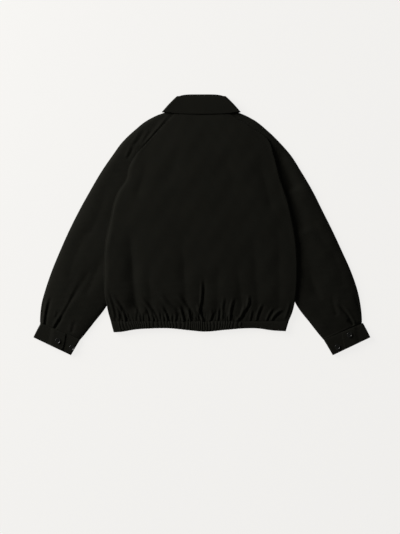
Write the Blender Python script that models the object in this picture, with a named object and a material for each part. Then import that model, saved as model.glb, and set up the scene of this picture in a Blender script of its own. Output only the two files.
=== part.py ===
"""Harrington jacket, zipped up and lying face down with its back upwards.

Metres, +Z up, +X towards the wearer's right sleeve, +Y towards the collar.
Every piece of cloth is a wall around its middle surface.  The fronts lie on
the ground, the sleeves lie beside the body, and the back covers them both:
its side edges fold over the sleeves and turn under to the side seams.
"""

import math

import bpy
import numpy as np

MM = 0.001
SIDES = {"left": -1, "right": 1}

# Cloth
WALL = 1.0 * MM
BAND_WALL = 1.6 * MM
SEAM_GAP = 0.3 * MM
GROUND = WALL / 2
SIDE_SEAM_GAP = 0.5 * MM
SLEEVE_EDGE_Z = 3.0 * MM
PIT_ROW = 8
PIT_MARGIN = 1.0 * MM
FALL_COVER_RISE = 1.6 * MM
FALL_COVER_REACH = 18.0 * MM
FALL_COVER_SLOPE = 14.0 * MM

# Zip
CHAIN_HALF_GAP = 0.2 * MM
CHAIN_HALF_WIDTH = 2.9 * MM
CHAIN_LOW_Z = 0.5 * MM
CHAIN_HIGH_Z = 2.9 * MM
TAPE_HALF_WIDTH = 15.0 * MM
TAPE_LOW_Z = 1.35 * MM
ZIP_TOP_Y = 259.0 * MM
ZIP_BOTTOM_Y = -296.0 * MM
TAPE_STEP = (12.0 * MM, 2.0 * MM)
TAPE_BEND = 0.01 * MM
HEM_STEP = 0.7 * MM
FRONT_EDGE_X = 5.0 * MM
TENT_HEIGHT = 3.7 * MM
TENT_Y = (224.0 * MM, 262.0 * MM)
TENT_HALF_WIDTH = 8.0 * MM
TENT_SLOPE = 34.0 * MM

# Slider and pull tab
SLIDER_HALF_WIDTH = 4.2 * MM
SLIDER_Y = (250.0 * MM, 262.5 * MM)
SLIDER_PLATE = 1.0 * MM
SLIDER_CLEAR = 0.3 * MM
BRIDGE_HALF_WIDTH = 1.2 * MM
BRIDGE_WALL = 0.8 * MM
BRIDGE_HALF_HOLE = 1.1 * MM
HINGE_Y = 256.5 * MM
HINGE_Z = 1.85 * MM
TAB_THICKNESS = 1.2 * MM
TAB_LENGTH = 25.0 * MM
TAB_HALF_WIDTH = 3.5 * MM
TAB_WINDOW_HALF_WIDTH = 1.7 * MM
TAB_WINDOW_LENGTH = 5.0 * MM
TAB_CORNER = 1.6 * MM

# Hem band
HEM_TOP_Y = -269.0 * MM
HEM_ROLL = 4.2 * MM
HEM_LOW_Z = BAND_WALL / 2
HEM_JOIN_LEFT_X = -236.0 * MM
HEM_JOIN_RIGHT_X = 110.0 * MM
HEM_DRAWN_IN = 8.0 * MM

# Cuffs and their buttons
CUFF_HEIGHT = 9.0 * MM
CUFF_WIDTH = 115.0 * MM
CUFF_LAP_RISE = BAND_WALL + 0.4 * MM
BUTTON_RADIUS = 7.3 * MM
BUTTON_THICKNESS = 3.0 * MM
BUTTON_BEVEL = 0.7 * MM
BUTTON_SINK = 0.5 * MM
BUTTON_SIDES = 12


def table(names, *rows):
    """Named columns in metres, from rows in millimetres."""
    return {name: np.array([row[i] for row in rows]) * MM for i, name in enumerate(names.split())}


# The back, from the neck to the hem.  left and right are the folded side
# edges, seam is where the turned-under cloth ends, roll is the fold's radius.
BACK = table(
    "y left right seam seam_z under_z roll crown",
    (318, 70, 71, 64, 10.3, 10.3, 0.95, 13.2),
    (306, 80, 84, 73, 11.2, 11.2, 0.95, 15.0),
    (290, 96, 107, 88, 12.3, 12.3, 0.95, 16.6),
    (266, 118, 144, 110, 13.5, 13.5, 0.95, 18.5),
    (240, 142, 182, 134, 14.2, 14.2, 1.00, 20.0),
    (224, 156, 191, 147, 14.4, 14.4, 1.20, 21.0),
    (200, 179, 198, 158, 14.4, 14.4, 1.60, 22.0),
    (165, 202, 208, 166, 14.4, 14.4, 2.00, 22.8),
    (125, 212, 218, 168, 14.4, 14.4, 2.40, 23.4),
    (95, 232, 229, 166, 14.4, 14.4, 2.50, 23.5),
    (60, 246, 240, 161, 13.8, 14.4, 2.60, 23.5),
    (25, 253, 248, 157, 12.4, 14.4, 2.60, 23.5),
    (-5, 260, 254, 155, 10.0, 14.4, 2.60, 23.3),
    (-40, 268, 260, 164, 8.4, 14.4, 2.60, 23.0),
    (-85, 272, 264, 177, 8.0, 14.4, 2.60, 22.4),
    (-130, 273, 265, 193, 8.0, 14.4, 2.60, 21.5),
    (-175, 272, 263, 207, 7.3, 14.1, 2.60, 19.8),
    (-205, 269, 260, 216, 6.0, 12.6, 2.70, 17.5),
    (-224, 265, 257, 221, 4.5, 9.5, 2.90, 15.0),
    (-244, 261, 252, 226, 2.6, 4.6, 3.50, 12.6),
    (-268.7, 254, 242, 231, 0.8, 0.8, 4.20, 9.2),
)

# The sleeves' rows, from the neck to the cuff.  seam is the edge sewn to the
# back, front is the edge sewn to the front, and from the underarm on they meet.
SLEEVE = table(
    "seam_x seam_y seam_z front_x front_y front_z outer_y crest low",
    (65, 318, 8.6, 66.3, 292, 2.1, 319, 8.9, 2.1),
    (73, 306, 9.6, 76.3, 272, 2.1, 312, 9.9, 2.1),
    (95, 282, 10.8, 92.3, 245, 0.5, 296, 11.0, 0.9),
    (119, 257, 11.8, 108.3, 215, 0.5, 264, 12.0, 0.5),
    (147, 224, 12.6, 122.3, 182, 0.5, 229, 12.7, 0.5),
    (161, 188, 12.8, 133.3, 145, 0.5, 195, 12.9, 0.5),
    (168, 140, 12.8, 142.3, 100, 0.5, 158, 12.9, 0.5),
    (163, 75, 10.5, 149.3, 45, 0.6, 110, 12.9, 0.5),
    (157, -5, 3.0, 157, -5, 3.0, 62, 12.9, 0.5),
    (194, -78, 3.0, 194, -78, 3.0, -10, 12.9, 0.5),
    (230, -151, 3.0, 230, -151, 3.0, -82, 12.9, 0.5),
    (265, -224, 3.0, 265, -224, 3.0, -152, 12.6, 0.5),
    (302, -273, 3.0, 302, -273, 3.0, -210, 11.6, 0.5),
    (328, -306, 3.0, 328, -306, 3.0, -250, 10.0, 0.5),
    (339, -319, 3.0, 339, -319, 3.0, -270, 8.6, 0.5),
)

# The shoulder and the outer edge of the sleeves.
OUTLINE = table(
    "y left right",
    (319, 96, 95), (312, 108, 106), (307, 122, 118), (297, 143, 138), (263, 189, 183),
    (230, 223, 217), (196, 248, 247), (151, 279, 276), (95, 312, 309), (39, 343, 337),
    (-17, 371, 365), (-73, 396, 391), (-129, 419, 416), (-185, 438, 435), (-218, 447, 442),
    (-250, 451, 446), (-272, 452, 447),
)

NECKLINE = table("x y", (5, 262), (22, 263.5), (38, 268), (53, 277), (66, 292), (80, 306), (97, 321))
FALL_EDGE = table("x y", (36, 240), (66, 263), (90, 288), (111, 313))

# Loops of the collar, from the neck seam over the fold to the fall's edge.
COLLAR = table(
    "left right top_z low_z back_y side_y front_y front_x",
    (97, 97, 11.7, 2.1, 318.8, 321, 262, 5),
    (86, 85, 13.6, 2.1, 338, 336, 278, 5),
    (71, 69, 14.6, 2.1, 357.5, 353, 292, 5),
    (69, 66, 16.2, 1.3, 362.43, 358, 296, 5.5),
    (74, 71, 17.8, 0.5, 358.5, 354, 292, 7),
    (93, 90, 17.6, 0.5, 338, 335, 268, 19),
    (111, 108, 16.2, 0.5, 312, 314.5, 240, 35),
)

# The hem's wavy lower edge.
HEM_EDGE = table(
    "x y",
    (-250, -299), (-235, -298), (-190, -291), (-140, -288), (-90, -288), (-40, -293), (7, -297),
    (70, -292), (125, -288), (158, -288), (205, -294), (240, -296),
)

COLLAR_TURN = 7.0 * MM
COLLAR_SEAM_GAP = 1.2 * MM

# The corners of each cuff: the inner and outer ends of its two long edges.
CUFF = table(
    "inner_x inner_y outer_x outer_y",
    (339.4, -319.6, 452.5, -272.6),
    (350.5, -338, 460, -291),
    (365, -363, 470, -313),
)

# Where each cuff's lap ends, as shares of the cuff's width at its upper and
# lower edge, and the two buttons with whether each lies on the lap.
CUFF_LAP = {"left": (0.36, 0.23), "right": (0.46, 0.32)}
BUTTONS = {
    "left": ((-401.0 * MM, -323.0 * MM, True), (-362.5 * MM, -342.5 * MM, False)),
    "right": ((411.0 * MM, -306.0 * MM, True), (378.0 * MM, -340.0 * MM, False)),
}

# Folds pressed into the cloth: each runs between two points, has a half width
# and a depth, and its depth dies away at both ends.
BACK_FOLDS = table(
    "x0 y0 x1 y1 width depth",
    (-205, 20, -180, -250, 14, 2.2),
    (-150, -60, -140, -256, 13, 1.8),
    (-55, -30, -48, -256, 15, 2.4),
    (5, -150, 2, -256, 12, 2.2),
    (45, -60, 44, -256, 14, 1.6),
    (95, -120, 110, -256, 13, 2.2),
    (150, -40, 158, -256, 15, 2.0),
    (215, 60, 212, -250, 14, 1.8),
    (-150, 210, -175, 90, 16, 2.0),
    (160, 200, 190, 60, 16, 2.0),
)
SLEEVE_FOLDS = {
    "left": table("x0 y0 x1 y1 width depth", (-352, -205, -407, -285, 9, 2.4), (-420, -215, -436, -280, 9, 2.2)),
    "right": table("x0 y0 x1 y1 width depth", (365, -205, 419, -278, 9, 2.2), (405, -190, 438, -256, 9, 1.8)),
}

MATERIALS = {
    "cloth": ((0.011, 0.011, 0.009, 1.0), 0.9, 0.0),
    "button": ((0.010, 0.010, 0.009, 1.0), 0.3, 0.0),
    "metal": ((0.32, 0.30, 0.27, 1.0), 0.35, 1.0),
}


def smooth(t):
    """0 below 0, 1 above 1, and an even S between."""
    t = np.clip(t, 0.0, 1.0)
    return t * t * (3.0 - 2.0 * t)


def through(knots, values, at):
    """Cubic curve through a table's rows, whose slope at a row comes from its neighbours."""
    order = np.argsort(knots)
    knots, values = np.asarray(knots)[order], np.asarray(values)[order]
    slope = np.gradient(values, knots)
    at = np.clip(at, knots[0], knots[-1])
    i = np.clip(np.searchsorted(knots, at) - 1, 0, len(knots) - 2)
    step = knots[i + 1] - knots[i]
    t = (at - knots[i]) / step
    start = (2 * t**3 - 3 * t**2 + 1) * values[i] + (t**3 - 2 * t**2 + t) * step * slope[i]
    end = (3 * t**2 - 2 * t**3) * values[i + 1] + (t**3 - t**2) * step * slope[i + 1]
    return start + end


def resampled(columns, places):
    """The columns of a table at fractional row numbers."""
    rows = np.arange(len(next(iter(columns.values()))))
    return {name: through(rows, values, places) for name, values in columns.items()}


def fold_depth(x, y, folds):
    """How far the folds press the cloth down at x, y."""
    depth = np.zeros(np.broadcast(x, y).shape)
    for i in range(len(folds["x0"])):
        x0, y0, x1, y1 = (folds[name][i] for name in ("x0", "y0", "x1", "y1"))
        length = math.hypot(x1 - x0, y1 - y0)
        along = ((x - x0) * (x1 - x0) + (y - y0) * (y1 - y0)) / length**2
        across = ((x - x0) * (y1 - y0) - (y - y0) * (x1 - x0)) / length
        ends = smooth(along / 0.35) * smooth((1.04 - along) / 0.1)
        depth += folds["depth"][i] * ends * np.exp(-((across / folds["width"][i]) ** 2))
    return depth


def material(kind):
    """The Principled material of a kind of piece, made once."""
    known = bpy.data.materials.get(kind)
    if known:
        return known
    color, roughness, metallic = MATERIALS[kind]
    made = bpy.data.materials.new(kind)
    made.use_nodes = True
    shader = made.node_tree.nodes["Principled BSDF"]
    shader.inputs["Base Color"].default_value = color
    shader.inputs["Roughness"].default_value = roughness
    shader.inputs["Metallic"].default_value = metallic
    return made


def place(name, vertices, faces, kind, origin=(0.0, 0.0, 0.0)):
    """An object from vertices and faces, with its origin moved to a point."""
    mesh = bpy.data.meshes.new(name)
    mesh.from_pydata([tuple(v) for v in np.asarray(vertices) - np.asarray(origin)], [], faces)
    mesh.update()
    mesh.materials.append(material(kind))
    made = bpy.data.objects.new(name, mesh)
    made.location = origin
    bpy.context.scene.collection.objects.link(made)
    return made


def cloth(name, points, wall=WALL, closed_from=None):
    """A wall of cloth around a grid of points; rows from closed_from on are closed into a tube."""
    rows, columns = points.shape[:2]
    index = np.arange(rows * columns).reshape(rows, columns)
    if closed_from is not None:
        index[closed_from:, -1] = index[closed_from:, 0]
    used, index = np.unique(index, return_inverse=True)
    index = index.reshape(rows, columns)
    corners = (index[:-1, :-1], index[:-1, 1:], index[1:, 1:], index[1:, :-1])
    faces = np.stack(corners, axis=-1).reshape(-1, 4)
    made = place(name, points.reshape(-1, 3)[used], faces.tolist(), "cloth")
    thicken = made.modifiers.new("wall", "SOLIDIFY")
    thicken.thickness = wall
    thicken.offset = 0.0
    made.data.shade_smooth()
    return made


def bulge(t):
    """Rises steeply from 0 at both ends to a nearly flat 1 in the middle."""
    return np.sqrt(np.clip(1.0 - np.abs(2.0 * t - 1.0) ** 4, 0.0, 1.0))


def flattened(t):
    """1 where a lower layer lies flat, falling to 0 at its two folded edges."""
    return smooth(np.minimum(t, 1.0 - t) / 0.06)


def grid(x, y, z):
    """Points of a surface from three arrays of one shape."""
    return np.stack(np.broadcast_arrays(x, y, z), axis=-1)


def covered_by_collar(x, y):
    """How far the cloth rises where the collar's front fall lies beneath it."""
    past = y - through(FALL_EDGE["x"], FALL_EDGE["y"], np.abs(x))
    return FALL_COVER_RISE * smooth((past + FALL_COVER_REACH) / FALL_COVER_SLOPE)


def zip_tent(x, y):
    """How far the cloth rises over the slider and its pull tab."""
    along = smooth((y - TENT_Y[0] + TENT_SLOPE) / TENT_SLOPE)
    across = smooth((TENT_HALF_WIDTH + TENT_SLOPE - np.abs(x)) / TENT_SLOPE)
    return TENT_HEIGHT * along * across


def front_rise(x, y):
    """The rise of the front over the collar's fall and the slider, whichever is more."""
    return np.maximum(covered_by_collar(x, y), zip_tent(x, y))


def sleeve_rows():
    """The sleeve table at its finished rows, with the number of the first row closed into a tube."""
    above = np.linspace(0.0, PIT_ROW, 11)
    below = np.linspace(PIT_ROW, len(SLEEVE["low"]) - 1, 9)[1:]
    rows = resampled(SLEEVE, np.concatenate([above, below]))
    rows["low"] = np.maximum(rows["low"], GROUND)
    rows["front_z"] = np.maximum(rows["front_z"], GROUND)
    return rows, len(above) - 1


def front_edge():
    """The front's outer edge: the sleeve's front edge to the underarm, then the back's side seam."""
    rows, pit = sleeve_rows()
    lower = BACK["y"] < rows["front_y"][pit] - PIT_MARGIN
    x = np.concatenate([rows["front_x"][:pit + 1] - SEAM_GAP, BACK["seam"][lower] - SIDE_SEAM_GAP])
    x[pit] = BACK["seam"].min(where=BACK["y"] < 0, initial=1.0) - SIDE_SEAM_GAP
    y = np.concatenate([rows["front_y"][:pit + 1], BACK["y"][lower]])
    z = np.concatenate([rows["front_z"][:pit + 1], BACK["seam_z"][lower]])
    return x, y, z


def front_grid():
    """The right front: a patch between centre front, hem, neckline and outer edge (a Coons patch)."""
    edge_x, edge_y, edge_z = (value[::-1, None] for value in front_edge())
    u = np.array([0.0, 0.06, 0.2, 0.36, 0.52, 0.66, 0.78, 0.9, 1.0])[None, :]
    share = (edge_y - edge_y[0]) / (edge_y[-1] - edge_y[0])
    centre_y = edge_y[0] + (NECKLINE["y"][0] - edge_y[0]) * share
    x = FRONT_EDGE_X + (edge_x - FRONT_EDGE_X) * u
    top_y = through(NECKLINE["x"], NECKLINE["y"], x[-1:])
    top_straight_y = centre_y[-1] + (edge_y[-1] - centre_y[-1]) * u
    y = centre_y + (edge_y - centre_y) * u + smooth((share - 0.55) / 0.45) * (top_y - top_straight_y)
    side = smooth((u - 0.7) / 0.3)
    z = GROUND + np.maximum(front_rise(x, y) * (1.0 - side), 0.0) + (edge_z - GROUND) * side
    return grid(x, y, z)


def build_front(side):
    """One front, mirrored to its side."""
    return cloth(f"front_{side}", front_grid() * np.array([SIDES[side], 1.0, 1.0]))


def build_sleeve(side):
    """One raglan sleeve: a tube from the cuff to the underarm, then open to the neck."""
    sign = SIDES[side]
    rows, closed_from = sleeve_rows()
    rows = {name: value[:, None] for name, value in rows.items()}
    outer_x = through(OUTLINE["y"], OUTLINE[side], rows["outer_y"]) - WALL / 2
    top = np.array([0.0, 0.03, 0.09, 0.2, 0.33, 0.46, 0.6, 0.74, 0.86, 0.95, 1.0])[None, :]
    under = np.array([0.97, 0.92, 0.64, 0.36, 0.08, 0.03, 0.0])[None, :]

    x = rows["seam_x"] + (outer_x - rows["seam_x"]) * top
    y = rows["seam_y"] + (rows["outer_y"] - rows["seam_y"]) * top
    end_z = np.where(top < 0.5, rows["seam_z"], SLEEVE_EDGE_Z)
    z = end_z + (rows["crest"] - end_z) * bulge(top)
    z = z - fold_depth(sign * x, y, SLEEVE_FOLDS[side])

    under_x = rows["front_x"] + (outer_x - rows["front_x"]) * under
    under_y = rows["front_y"] + (rows["outer_y"] - rows["front_y"]) * under
    end_z = np.where(under < 0.5, rows["front_z"], SLEEVE_EDGE_Z)
    under_z = end_z + (rows["low"] - end_z) * flattened(under)

    x, y, z = (np.hstack(pair) for pair in ((x, under_x), (y, under_y), (z, under_z)))
    return cloth(f"sleeve_{side}", grid(sign * x, y, z), closed_from=closed_from)


def turned_edge(sign, edge, row):
    """The turned-under cloth and the fold at one side of the back, from the seam outwards."""
    seam, roll = row["seam"], row["roll"]
    along = np.array([0.0, 0.3, 0.65, 1.0])[None, :]
    x = seam + (edge - roll - seam) * along
    z = row["seam_z"] + (row["under_z"] - row["seam_z"]) * smooth(along / 0.3)
    angle = np.radians([-45.0, 0.0, 45.0])[None, :]
    x = np.hstack([x, edge - roll + roll * np.cos(angle)])
    z = np.hstack([z, row["under_z"] + roll + roll * np.sin(angle)])
    return sign * x, z


def build_back():
    """The back: the top layer, rolled over at both sides and turned under to the side seams."""
    row = {name: value[:, None] for name, value in BACK.items()}
    left_edge, right_edge = row["left"] - WALL / 2, row["right"] - WALL / 2
    left_x, left_z = turned_edge(-1, left_edge, row)
    right_x, right_z = turned_edge(1, right_edge, row)
    across = np.linspace(-1.0, 1.0, 25)[None, :]
    low_x, high_x = row["roll"] - left_edge, right_edge - row["roll"]
    x = low_x + (high_x - low_x) * (across + 1.0) / 2.0
    edge_z = row["under_z"] + 2.0 * row["roll"]
    dome = 1.0 - np.abs(across) ** 2.6
    z = edge_z + (row["crown"] - edge_z) * dome
    z = z - fold_depth(x, row["y"], BACK_FOLDS) * smooth((1.0 - np.abs(across)) / 0.08)
    x = np.hstack([left_x, x, right_x[:, ::-1]])
    z = np.hstack([left_z, z, right_z[:, ::-1]])
    return cloth("back", grid(x, row["y"], z))


def collar_half(side):
    """Half of the collar's loops: from centre back round the side to centre front."""
    loop = {name: value[:, None] for name, value in COLLAR.items()}
    width = loop[side] - COLLAR_TURN
    back = np.array([0.0, 0.25, 0.5, 0.76, 1.0])[None, :]
    angle = np.radians([60.0, 30.0, 0.0, -30.0, -60.0])[None, :]
    fore = np.array([1.0, 0.8, 0.6, 0.4, 0.2, 0.0])[None, :]
    middle_z, half_z = (loop["top_z"] + loop["low_z"]) / 2, (loop["top_z"] - loop["low_z"]) / 2
    x = np.hstack([width * back, width + COLLAR_TURN * np.cos(angle),
                   loop["front_x"] + (width - loop["front_x"]) * fore])
    y = np.hstack([loop["back_y"] + (loop["side_y"] - loop["back_y"]) * back**5,
                   loop["side_y"] + 0.0 * angle,
                   loop["front_y"] + (loop["side_y"] - loop["front_y"]) * fore**1.1])
    z = np.hstack([loop["top_z"] + 0.0 * back, middle_z + half_z * np.sin(angle), loop["low_z"] + 0.0 * fore])
    first = -fore.shape[1]
    y[0, first:] = through(NECKLINE["x"], NECKLINE["y"], x[0, first:]) + COLLAR_SEAM_GAP
    tent_share = np.array([1.0, 0.5, 0.2])[:, None]
    z[:3, first:] += tent_share * zip_tent(x[:3, first:], np.full((3, 1), NECKLINE["y"][0]))
    return SIDES[side] * x, y, z


def build_collar():
    """The collar in one piece: stand, fold and fall, carried round the neck from front to front."""
    halves = [np.hstack([left[:, :0:-1], right]) for left, right in zip(collar_half("left"), collar_half("right"))]
    return cloth("collar", grid(*halves))


def hem_strip(name, path_x, path_z):
    """A stretch of the hem band along a path in x and z, from the body's edge to the hem's edge."""
    down = np.linspace(0.0, 1.0, 3)[:, None]
    top_y = HEM_TOP_Y - SEAM_GAP
    edge_y = through(HEM_EDGE["x"], HEM_EDGE["y"], path_x)
    half = np.where(path_x < 0, BACK["left"][-1], BACK["right"][-1])
    drawn_in = 1.0 - down * HEM_DRAWN_IN / half
    y = top_y + (edge_y - top_y) * down
    return cloth(name, grid(path_x * drawn_in, y, path_z), wall=BAND_WALL)


def build_hem():
    """The hem band: two plain ends that wrap round from the zip, and the gathered back between."""
    high_z = HEM_LOW_Z + 2.0 * HEM_ROLL
    angle = np.radians([-90, -60, -30, 0, 30, 60, 90])
    for side, join in (("left", -HEM_JOIN_LEFT_X), ("right", HEM_JOIN_RIGHT_X)):
        turn = BACK[side][-1] - BAND_WALL / 2 - HEM_ROLL
        flat = np.linspace(FRONT_EDGE_X, turn, 9)[:-1]
        back = np.linspace(turn, join + SEAM_GAP / 2, 6 if side == "right" else 3)[1:]
        x = np.concatenate([flat, turn + HEM_ROLL * np.cos(angle), back])
        z = np.concatenate([np.full(len(flat), HEM_LOW_Z), HEM_LOW_Z + HEM_ROLL * (1 + np.sin(angle)),
                            np.full(len(back), high_z)])
        hem_strip(f"hem_{side}", SIDES[side] * x, z)
    x = np.linspace(HEM_JOIN_LEFT_X + SEAM_GAP / 2, HEM_JOIN_RIGHT_X - SEAM_GAP / 2, 19)
    hem_strip("hem_back", x, np.full(len(x), high_z))


def cuff_point(side, across, down):
    """The place in plan of a point of the cuff: across from its inner edge, down from the sleeve."""
    rows = {name: through([0.0, 0.5, 1.0], value, down) for name, value in CUFF.items()}
    x = rows["inner_x"] + (rows["outer_x"] - rows["inner_x"]) * across
    y = rows["inner_y"] + (rows["outer_y"] - rows["inner_y"]) * across
    return SIDES[side] * x, y


def build_cuff(side):
    """One cuff: a band wound once round the wrist, whose end laps over its start."""
    down = np.array([0.0, 0.5, 1.0])[:, None]
    lap_high, lap_low = CUFF_LAP[side]
    lap = lap_high + (lap_low - lap_high) * down
    low, high = BAND_WALL / 2, CUFF_HEIGHT - BAND_WALL / 2
    middle, radius = (low + high) / 2, (high - low) / 2
    turn = radius / CUFF_WIDTH
    inset = turn + BAND_WALL / 2 / CUFF_WIDTH
    angle = np.radians([60.0, 20.0, -20.0, -60.0])
    even = np.ones_like(down)
    start = np.hstack([lap + 0.2, lap, even * inset])
    inner = even * (inset - turn * np.cos(angle))
    floor = even * np.linspace(inset, 1.0 - inset, 5)
    outer = even * (1.0 - inset + turn * np.cos(angle))
    top = np.hstack([even * (1.0 - inset), lap + 0.38, lap + 0.29, lap + 0.15, lap])
    across = np.hstack([start, inner, floor, outer, top])
    lapped = high + CUFF_LAP_RISE
    z = np.concatenate([
        np.full(start.shape[1], high), middle + radius * np.sin(angle), np.full(floor.shape[1], low),
        middle - radius * np.sin(angle), [high, high + 0.6 * CUFF_LAP_RISE, lapped, lapped, lapped]])
    x, y = cuff_point(side, across, down)
    return cloth(f"cuff_{side}", grid(x, y, z[None, :]), wall=BAND_WALL)


def build_buttons(side):
    """The cuff's two buttons, each a bevelled disc with a sunk top, lying on the band."""
    heights = (0.0, BUTTON_THICKNESS - BUTTON_BEVEL, BUTTON_THICKNESS, BUTTON_THICKNESS - BUTTON_SINK)
    radii = (BUTTON_RADIUS, BUTTON_RADIUS, BUTTON_RADIUS - BUTTON_BEVEL, BUTTON_RADIUS - 3 * BUTTON_BEVEL)
    angle = np.linspace(0.0, 2.0 * np.pi, BUTTON_SIDES + 1)[:-1]
    rings = [grid(radius * np.cos(angle), radius * np.sin(angle), height) for radius, height in zip(radii, heights)]
    last = (len(rings) - 1) * BUTTON_SIDES
    faces = [list(range(BUTTON_SIDES))[::-1], list(range(last, last + BUTTON_SIDES))]
    for low in range(0, last, BUTTON_SIDES):
        for i in range(BUTTON_SIDES):
            a, b = low + i, low + (i + 1) % BUTTON_SIDES
            faces.append([a, b, b + BUTTON_SIDES, a + BUTTON_SIDES])
    for number, (x, y, on_lap) in enumerate(BUTTONS[side], start=1):
        base = CUFF_HEIGHT + SEAM_GAP + (CUFF_LAP_RISE if on_lap else 0.0)
        made = place(f"cuff_button_{side}_{number}", np.concatenate(rings), faces, "button")
        made.location = (x, y, base)


def build_tape(side):
    """One half of the zip: its tape lies on the front's own points, with the teeth as a bead."""
    sign = SIDES[side]
    front = front_grid()
    bent = np.abs(front[:, 0, 2] - GROUND) > TAPE_BEND
    bent |= np.roll(bent, -1) | np.roll(bent, 1)
    bent[::4] = True
    front = front[bent]
    front_y = front[:, 0, 1]
    step_y = [HEM_TOP_Y - step for step in TAPE_STEP]
    y = np.concatenate([[ZIP_BOTTOM_Y], step_y, front_y[1:-1], [ZIP_TOP_Y]])
    tape_high = TAPE_LOW_Z + WALL
    section = np.array([
        (CHAIN_HALF_GAP, CHAIN_LOW_Z), (CHAIN_HALF_WIDTH, CHAIN_LOW_Z), (CHAIN_HALF_WIDTH, TAPE_LOW_Z),
        (TAPE_HALF_WIDTH, TAPE_LOW_Z), (TAPE_HALF_WIDTH, tape_high), (CHAIN_HALF_WIDTH, tape_high),
        (CHAIN_HALF_WIDTH, CHAIN_HIGH_Z), (CHAIN_HALF_GAP, CHAIN_HIGH_Z)])
    on_front = np.stack([np.interp(y, front_y, front[:, column, 2]) for column in range(3)], axis=-1)
    on_front_x = np.stack([np.interp(y, front_y, front[:, column, 0]) for column in range(3)], axis=-1)
    rise = np.stack([np.interp(section[:, 0], xs, zs) for xs, zs in zip(on_front_x, on_front)]) - GROUND
    rise[:3] += HEM_STEP
    points = grid(sign * section[None, :, 0], y[:, None], section[None, :, 1] + rise)
    count = len(section)
    faces = [list(range(count))[::-1], [(len(y) - 1) * count + i for i in range(count)]]
    for low in range(0, (len(y) - 1) * count, count):
        for i in range(count):
            a, b = low + i, low + (i + 1) % count
            faces.append([a, b, b + count, a + count])
    if sign > 0:
        faces = [face[::-1] for face in faces]
    return place(f"zip_{side}", points.reshape(-1, 3), faces, "cloth")


def extruded(name, outline, half_width, kind):
    """A solid from an outline in y and z, carried across x."""
    count = len(outline)
    vertices = [(x, y, z) for x in (-half_width, half_width) for y, z in outline]
    faces = [[i, (i + 1) % count, count + (i + 1) % count, count + i] for i in range(count)]
    faces += [list(range(count))[::-1], [count + i for i in range(count)]]
    area = sum(a[0] * b[1] - b[0] * a[1] for a, b in zip(outline, outline[1:] + outline[:1]))
    if area < 0:
        faces = [face[::-1] for face in faces]
    return place(name, vertices, faces, kind)


def cut(target, tool, operation):
    """A Boolean of one solid with another, which is then only a guide."""
    step = target.modifiers.new(tool.name, "BOOLEAN")
    step.object = tool
    step.operation = operation
    tool.hide_render = True
    tool.display_type = "WIRE"


def build_slider():
    """The slider: two plates joined by a post at their head, with a bridge that holds the tab."""
    low = CHAIN_LOW_Z + TENT_HEIGHT - SLIDER_CLEAR
    high = CHAIN_HIGH_Z + TENT_HEIGHT + SLIDER_CLEAR
    foot, head = SLIDER_Y
    post = ZIP_TOP_Y + SLIDER_CLEAR * 2
    outline = [
        (foot, low - SLIDER_PLATE), (head, low - SLIDER_PLATE), (head, high + SLIDER_PLATE),
        (foot, high + SLIDER_PLATE), (foot, high), (post, high), (post, low), (foot, low)]
    slider = extruded("zip_slider", outline, SLIDER_HALF_WIDTH, "metal")
    reach = BRIDGE_HALF_HOLE + BRIDGE_WALL
    bridge = extruded("bridge_guide", [
        (HINGE_Y - reach, 0.0), (HINGE_Y + reach, 0.0),
        (HINGE_Y + reach, low - SLIDER_PLATE / 2), (HINGE_Y - reach, low - SLIDER_PLATE / 2)],
        BRIDGE_HALF_WIDTH, "metal")
    hole = extruded("bridge_hole", [
        (HINGE_Y - BRIDGE_HALF_HOLE, BRIDGE_WALL), (HINGE_Y + BRIDGE_HALF_HOLE, BRIDGE_WALL),
        (HINGE_Y + BRIDGE_HALF_HOLE, low - SLIDER_PLATE), (HINGE_Y - BRIDGE_HALF_HOLE, low - SLIDER_PLATE)],
        BRIDGE_HALF_WIDTH * 2, "metal")
    cut(bridge, hole, "DIFFERENCE")
    cut(slider, bridge, "UNION")


def build_pull_tab():
    """The pull tab: a flat plate whose end bar passes through the slider's bridge."""
    bar = TAB_THICKNESS / 2
    outer, inner = TAB_HALF_WIDTH, TAB_WINDOW_HALF_WIDTH
    tip = -TAB_LENGTH
    rim = [(-outer, bar), (outer, bar), (outer, tip + TAB_CORNER), (outer - TAB_CORNER, tip),
           (TAB_CORNER - outer, tip), (-outer, tip + TAB_CORNER)]
    window = [(-inner, -bar), (inner, -bar), (inner, -TAB_WINDOW_LENGTH), (-inner, -TAB_WINDOW_LENGTH)]
    plan = rim + window
    vertices = [(x, HINGE_Y + y, HINGE_Z + z) for z in (-bar, bar) for x, y in plan]
    count = len(plan)
    quads = [(0, 1, 7, 6), (1, 2, 8, 7), (2, 3, 4, 5), (2, 5, 9, 8), (5, 0, 6, 9)]
    faces = [[count + i for i in quad][::-1] for quad in quads]
    faces += [list(quad) for quad in quads]
    for ring, turn in (((0, 1, 2, 3, 4, 5), False), ((6, 7, 8, 9), True)):
        for a, b in zip(ring, ring[1:] + ring[:1]):
            side = [a, b, count + b, count + a]
            faces.append(side if turn else side[::-1])
    return place("zip_pull_tab", vertices, faces, "metal", origin=(0.0, HINGE_Y, HINGE_Z))


def main():
    for old in list(bpy.data.objects):
        bpy.data.objects.remove(old, do_unlink=True)
    build_back()
    build_collar()
    build_hem()
    for side in SIDES:
        build_front(side)
        build_sleeve(side)
        build_cuff(side)
        build_buttons(side)
        build_tape(side)
    build_slider()
    build_pull_tab()


main()
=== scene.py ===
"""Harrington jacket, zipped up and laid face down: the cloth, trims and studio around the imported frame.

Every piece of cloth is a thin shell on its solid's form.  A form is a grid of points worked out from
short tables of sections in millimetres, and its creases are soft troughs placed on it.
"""

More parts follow.
